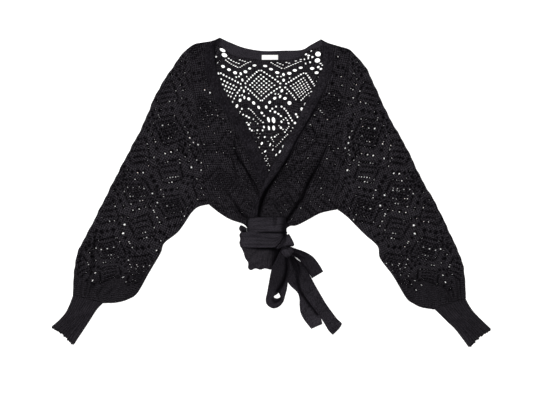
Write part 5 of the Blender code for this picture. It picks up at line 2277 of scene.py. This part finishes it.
@dataclass(frozen=True)
class Ties:
    """The knot, the hanging loop and the tie's three free ends."""

    # Free ends, a row for each section: one edge's x and y, the other's, height of the underside.
    short: Route = (
        (42, -128, 40, -147, 9.0), (56, -133, 56, -153.6, 8.0), (74, -139, 66, -160.5, 4.4),
        (89.5, -146.5, 75, -171, 3.0), (102, -156, 82, -181, 0.3), (115.5, -173.5, 90, -193, 0.0),
        (124.5, -189.5, 97.4, -205.5, 0.0),
    )
    middle: Route = (
        (25, -146, 46, -148, 0.0), (32, -158, 56, -158, 0.0), (34.6, -172, 62, -172, 0.0),
        (35.0, -190, 68, -190, 0.0), (36.2, -208, 70, -204, 0.0), (45, -223, 80, -218, 0.0),
        (61.5, -239, 92, -232, 0.0), (67, -254, 100, -248, 0.0), (67.3, -270, 108, -262, 0.0),
        (70, -289, 112, -280, 0.0), (79, -306, 118, -297, 0.0), (95.5, -327, 122.5, -315, 0.0),
    )
    long: Route = (
        (38, -140, 51, -146, 8.0), (48, -155, 59, -157.5, 6.5), (58, -168, 73, -168, 4.5),
        (65, -186, 86, -184, 3.0), (67.5, -206, 95, -203, 2.8), (72, -230, 108, -227, 2.6),
        (84, -253, 120, -248, 2.6), (98.5, -273, 132.5, -268.5, 2.4), (115.5, -296, 148, -290, 2.0),
        (127.5, -315, 158.5, -303.5, 1.0), (137, -331, 169, -314, 0.0), (147.5, -341.5, 163, -326, 0.0),
    )
    # The loop, a row for each section: outer x and y, inner x and y, underside, thickness.
    loop: Route = (
        (20, -140, 33, -146, 6.0, 8.0),
        (12, -158, 35, -160, 5.0, 6.5),
        (2.5, -176, 36, -180, 4.4, 4.2),
        (-2.5, -196, 33, -202, 3.6, 3.0),
        (-7.0, -220, 27, -223, 3.0, 2.8),
        (-10.5, -240, 15.5, -241.5, 2.2, 3.0),
        (-13.8, -256, 6.5, -248, 0.4, 5.0),
        (-10.5, -269, 7.5, -252, 0.1, 6.5),
        (3.5, -277.5, 11.5, -253.5, 0.1, 7.0),
        (18, -273.5, 16.5, -252.8, 0.1, 6.5),
        (28.5, -262, 21.0, -250, 0.1, 5.0),
        (33.5, -246, 19.8, -245, 0.1, 3.2),
        (38.0, -228, 12, -229, 0.1, 2.4),
        (39.5, -206, 12, -206, 0.1, 2.4),
        (36, -184, 14, -186, 0.1, 2.6),
        (33, -150, 22, -152, 0.1, 3.2),
    )
    width: float = 28.0
    knot_size: tuple[float, float, float] = (31.0, 25.0, 26.0)
    knot_middle: tuple[float, float] = (37.0, -140.5)

    def build_tail(self, name: str, rows: Route, area: float, tone: tuple[float, float]) -> None:
        """Build one free end of the tie.

        Args:
            name: Its name, which is its node's name too.
            rows: Its sections.
            area: Its area, in square centimetres.
            tone: Its shade near the knot and towards its end.
        """
        sections = smooth(rows, SECTION_STEP)
        left, right, low = sections[:, 0:2], sections[:, 2:4], sections[:, 4]
        length = lengths((left + right) / 2)
        bunched = fade(length, 55, 0)
        total = length[-1]

        def relief(place: Numbers, share: Numbers) -> Numbers:
            """Fold the end near the knot, and curl its edges and wave it further down.

            Args:
                place: The places along it.
                share: The places across it, from 0 to 1.

            Returns:
                The height added to it.
            """
            folds = np.cos(math.tau * 2.0 * share + 0.5) * fade(place, 70, 0)
            curl = 0.9 * (2 * share - 1) ** 2 * fade(place, 30, 90)
            wave = 0.5 * np.sin(place / 17) * fade(place, 20, 60)
            return 1.1 * folds + curl + wave * (place < total - 2)

        def shade(place: Numbers, share: Numbers) -> Numbers:
            """Paint shade in the folds and make the yarn uneven.

            Args:
                place: The places along it.
                share: The places across it, from 0 to 1.

            Returns:
                The shade at each place.
            """
            folds = 1.0 - 0.55 * (0.5 - 0.5 * np.cos(math.tau * 2.0 * share + 0.5)) * fade(place, 75, 10)
            light = tone[0] + (tone[1] - tone[0]) * fade(place, 40, 110)
            grain = np.random.default_rng(SEED).normal(1.0, 0.3, share.shape).clip(0.3, 1.8)
            return light * (1.0 + 0.22 * fade(place, total - 60, total - 10)) * folds * grain

        ribbon = Ribbon(left, right, low, BAND + 2.6 * bunched, relief, 25, shade)
        size = (self.width, area * 100 / self.width)
        dress(ribbon.cloth(), name + "_ribbon", name, Slot.FINE, size, area)

    def build_loop(self) -> None:
        """Build the hanging loop: one ribbon that goes down, turns and comes back under itself."""
        sections = smooth(self.loop, SECTION_STEP)

        def relief(place: Numbers, share: Numbers) -> Numbers:
            """Fold the loop near the knot."""
            return 0.7 * np.cos(math.tau * 1.5 * share) * fade(place, 60, 10)

        def shade(place: Numbers, share: Numbers) -> Numbers:
            """Paint shade in the turn's crease, on the outer edge and on what lies under the loop.

            Args:
                place: The places along it.
                share: The places across it, from 0 to 1.

            Returns:
                The shade at each place.
            """
            turned = fade(place, 108, 124) * fade(place, 190, 150)
            crease = bell(share - 0.75, 0.12) * turned
            edge = fade(share, 0.78, 1.0) * fade(place, 110, 60)
            below = fade(place, 175, 205)
            light = 0.48 + 0.22 * fade(place, 62, 105)
            light = light * (1.0 - 0.8 * crease) * (1.0 - 0.6 * edge)
            return light * (1.0 - 0.8 * below * fade(share, 0.25, 0.6))

        ribbon = Ribbon(
            sections[:, 0:2], sections[:, 2:4], sections[:, 4], sections[:, 5], relief, 17, shade,
        )
        dress(ribbon.cloth(), "hanging_loop", "tie_loop", Slot.FINE, (28, 265), 58)

    def build_knot(self) -> None:
        """Build the knot: a drawn-up cushion of cloth with folds that run to the tails."""
        bm = bmesh.new()
        bmesh.ops.create_uvsphere(bm, u_segments=64, v_segments=36, radius=1.0)
        layer = bm.verts.layers.float.new("shade")
        wide, long, high = self.knot_size
        for vert in bm.verts:
            x, y, z = vert.co
            around, angle = math.hypot(x, y), math.atan2(y, x)
            full = around**0.4 if around > 0 else 0.0
            fold = math.cos(2.6 * math.tau * (0.38 * x + 0.55 * y + 0.10 * math.sin(3 * x)) + 0.4)
            if around > 0:
                x, y = x / around * full, y / around * full
            swell = 1.0 + 0.03 * fold + 0.07 * math.sin(2 * angle + 2.2)
            height = high * (0.35 + (0.65 * z if z > 0 else 0.35 * max(z, -0.6) / 0.6))
            height -= 1.6 * (0.5 - 0.5 * fold) * max(0.0, z)
            # Painted shade in the knot's folds and round its rim.
            vert[layer] = 1.0 - 0.36 * (0.5 - 0.5 * fold) - 0.10 * max(0.0, around - 0.85)
            low = max(0.0, -y)
            x, y = x * (1.0 - 0.30 * low) - 0.10 * low, y * (1.0 + 0.26 * low)
            vert.co = (
                (self.knot_middle[0] + x * swell * wide / 2) * MM,
                (self.knot_middle[1] + y * swell * long / 2) * MM,
                height * MM,
            )
        mesh = bpy.data.meshes.new("drawn_knot")
        uv = bm.loops.layers.uv.new("knit")
        for face in bm.faces:
            for loop in face.loops:
                loop[uv].uv = (loop.vert.co.x / MM, loop.vert.co.y / MM + loop.vert.co.z / MM)
        bmesh.ops.recalc_face_normals(bm, faces=bm.faces)
        bm.to_mesh(mesh)
        bm.free()
        mesh.materials.append(FINISHES.of(Slot.FINE))
        mesh.shade_smooth()
        knot = put("drawn_knot", mesh)
        spots = np.array([vert.co[:2] for vert in mesh.vertices]) / MM
        shades = np.array([item.value for item in mesh.attributes["shade"].data])
        mesh.attributes["shade"].data.foreach_set("value", shades * shaded("drawn_knot", spots))
        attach(knot, "root")
        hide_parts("knot")
        log.info("drawn_knot: on knot")

    def build(self) -> None:
        """Build the knot, the loop and the free ends."""
        self.build_knot()
        self.build_loop()
        self.build_tail("tail_middle", self.middle, 50.0, (0.48, 0.80))
        self.build_tail("tail_long", self.long, 56.0, (0.46, 0.68))
        self.build_tail("tail_short", self.short, 24.0, (0.50, 0.46))


@dataclass(frozen=True)
class Studio:
    """A plain pale floor, soft light and a long lens straight above."""

    middle: tuple[float, float] = (-0.0118, -0.0176)
    view_width: float = 1.2792
    height: float = 4.0
    sensor: float = 36.0
    floor_size: float = 12.0
    floor_drop: float = 0.0003

    def build_floor(self) -> None:
        """Lay the floor just below the cloth."""
        bm = bmesh.new()
        bmesh.ops.create_grid(bm, x_segments=1, y_segments=1, size=self.floor_size / 2)
        bmesh.ops.translate(bm, verts=bm.verts, vec=(0, 0, -self.floor_drop))
        mesh = bpy.data.meshes.new("floor")
        bm.to_mesh(mesh)
        bm.free()
        material = bpy.data.materials.new("pale_floor")
        material.use_nodes = True
        surface = material.node_tree.nodes["Principled BSDF"]
        surface.inputs["Base Color"].default_value = (0.88, 0.875, 0.87, 1.0)
        surface.inputs["Roughness"].default_value = 0.9
        surface.inputs["Specular IOR Level"].default_value = 0.0
        surface.inputs["Emission Color"].default_value = (1.0, 0.995, 0.99, 1.0)
        surface.inputs["Emission Strength"].default_value = 0.32
        mesh.materials.append(material)
        floor = put("floor", mesh)

    def add_light(self, name: str, spot: Sequence[float], size: float, watts: float) -> None:
        """Add a soft light that faces the garment.

        Args:
            name: Its name.
            spot: Where it hangs.
            size: Its width.
            watts: Its power.
        """
        light = bpy.data.lights.new(name, "AREA")
        light.shape = "DISK"
        light.size = size
        light.energy = watts
        lamp = put(name, light)
        lamp.location = spot
        lamp.rotation_euler = (-Vector(spot)).to_track_quat("-Z", "Y").to_euler()

    def build_camera(self) -> None:
        """Hang the camera above the garment, framed as in the photograph."""
        camera = bpy.data.cameras.new("camera")
        camera.type = "PERSP"
        camera.sensor_width = self.sensor
        camera.lens = self.sensor * self.height / self.view_width
        camera.clip_end = 50.0
        eye = put("camera", camera)
        eye.location = (*self.middle, self.height)
        bpy.context.scene.camera = eye

    def build(self) -> None:
        """Build the floor, the light and the camera."""
        scene = bpy.context.scene
        scene.view_settings.view_transform = "Standard"
        world = bpy.data.worlds.new("studio")
        world.use_nodes = True
        backdrop = world.node_tree.nodes["Background"]
        backdrop.inputs["Color"].default_value = (1.0, 1.0, 1.0, 1.0)
        backdrop.inputs["Strength"].default_value = 0.45
        scene.world = world
        self.build_floor()
        self.add_light("softbox", (0.3, -0.2, 2.8), 2.4, 70.0)
        self.add_light("key", (-2.0, 1.1, 1.7), 0.9, 42.0)
        self.build_camera()


LEFT_SLEEVE = Sleeve(
    Side.LEFT,
    CUT.left_armhole,
    (
        (-201, 345), (-221, 323), (-273, 243), (-313, 152), (-365, 56), (-432, -77), (-466, -144),
        (-475, -202), (-476, -246),
    ),
    (
        (-150, -28), (-175, -34), (-193, -49), (-224, -92), (-258, -120), (-267, -144),
        (-294, -190), (-322, -239), (-343, -254), (-371, -263), (-404, -265),
    ),
    (
        (-476, -246, -404, -265, 0), (-485, -270, -419, -281, 0), (-495, -289, -435, -306, 0),
        (-511, -307, -450.5, -329.5, -3), (-527.5, -321, -474, -365, -6),
    ),
    940.5,
)
RIGHT_SLEEVE = Sleeve(
    Side.RIGHT,
    CUT.right_armhole,
    (
        (189, 342), (225, 302), (252, 246), (283, 179), (326, 103), (362, 30), (395, -27),
        (436, -113), (455, -157), (464, -196), (466, -253),
    ),
    (
        (158, -40), (182, -58), (206, -81), (228, -102), (256, -128), (262, -157), (293, -199),
        (324, -251), (343, -266), (361, -275), (390, -280),
    ),
    (
        (465.5, -253.5, 391, -279.5, 0), (474.5, -270.5, 406, -294, 0), (485.5, -286, 422, -310, 0),
        (505.5, -306.5, 442, -329.5, -3), (526.5, -326.5, 473, -370.5, -5),
    ),
    901.2,
    sheer=0.15,
)


def main() -> None:
    """Build the garment piece by piece, then the studio."""
    logging.basicConfig(level=logging.INFO, format="%(name)s %(message)s")
    for assembly in (Back(), LEFT_SLEEVE, RIGHT_SLEEVE, Fronts(), Waist(), Ties(), Studio()):
        assembly.build()
        log.info("%s is done", type(assembly).__name__)


if __name__ == "__main__":
    main()
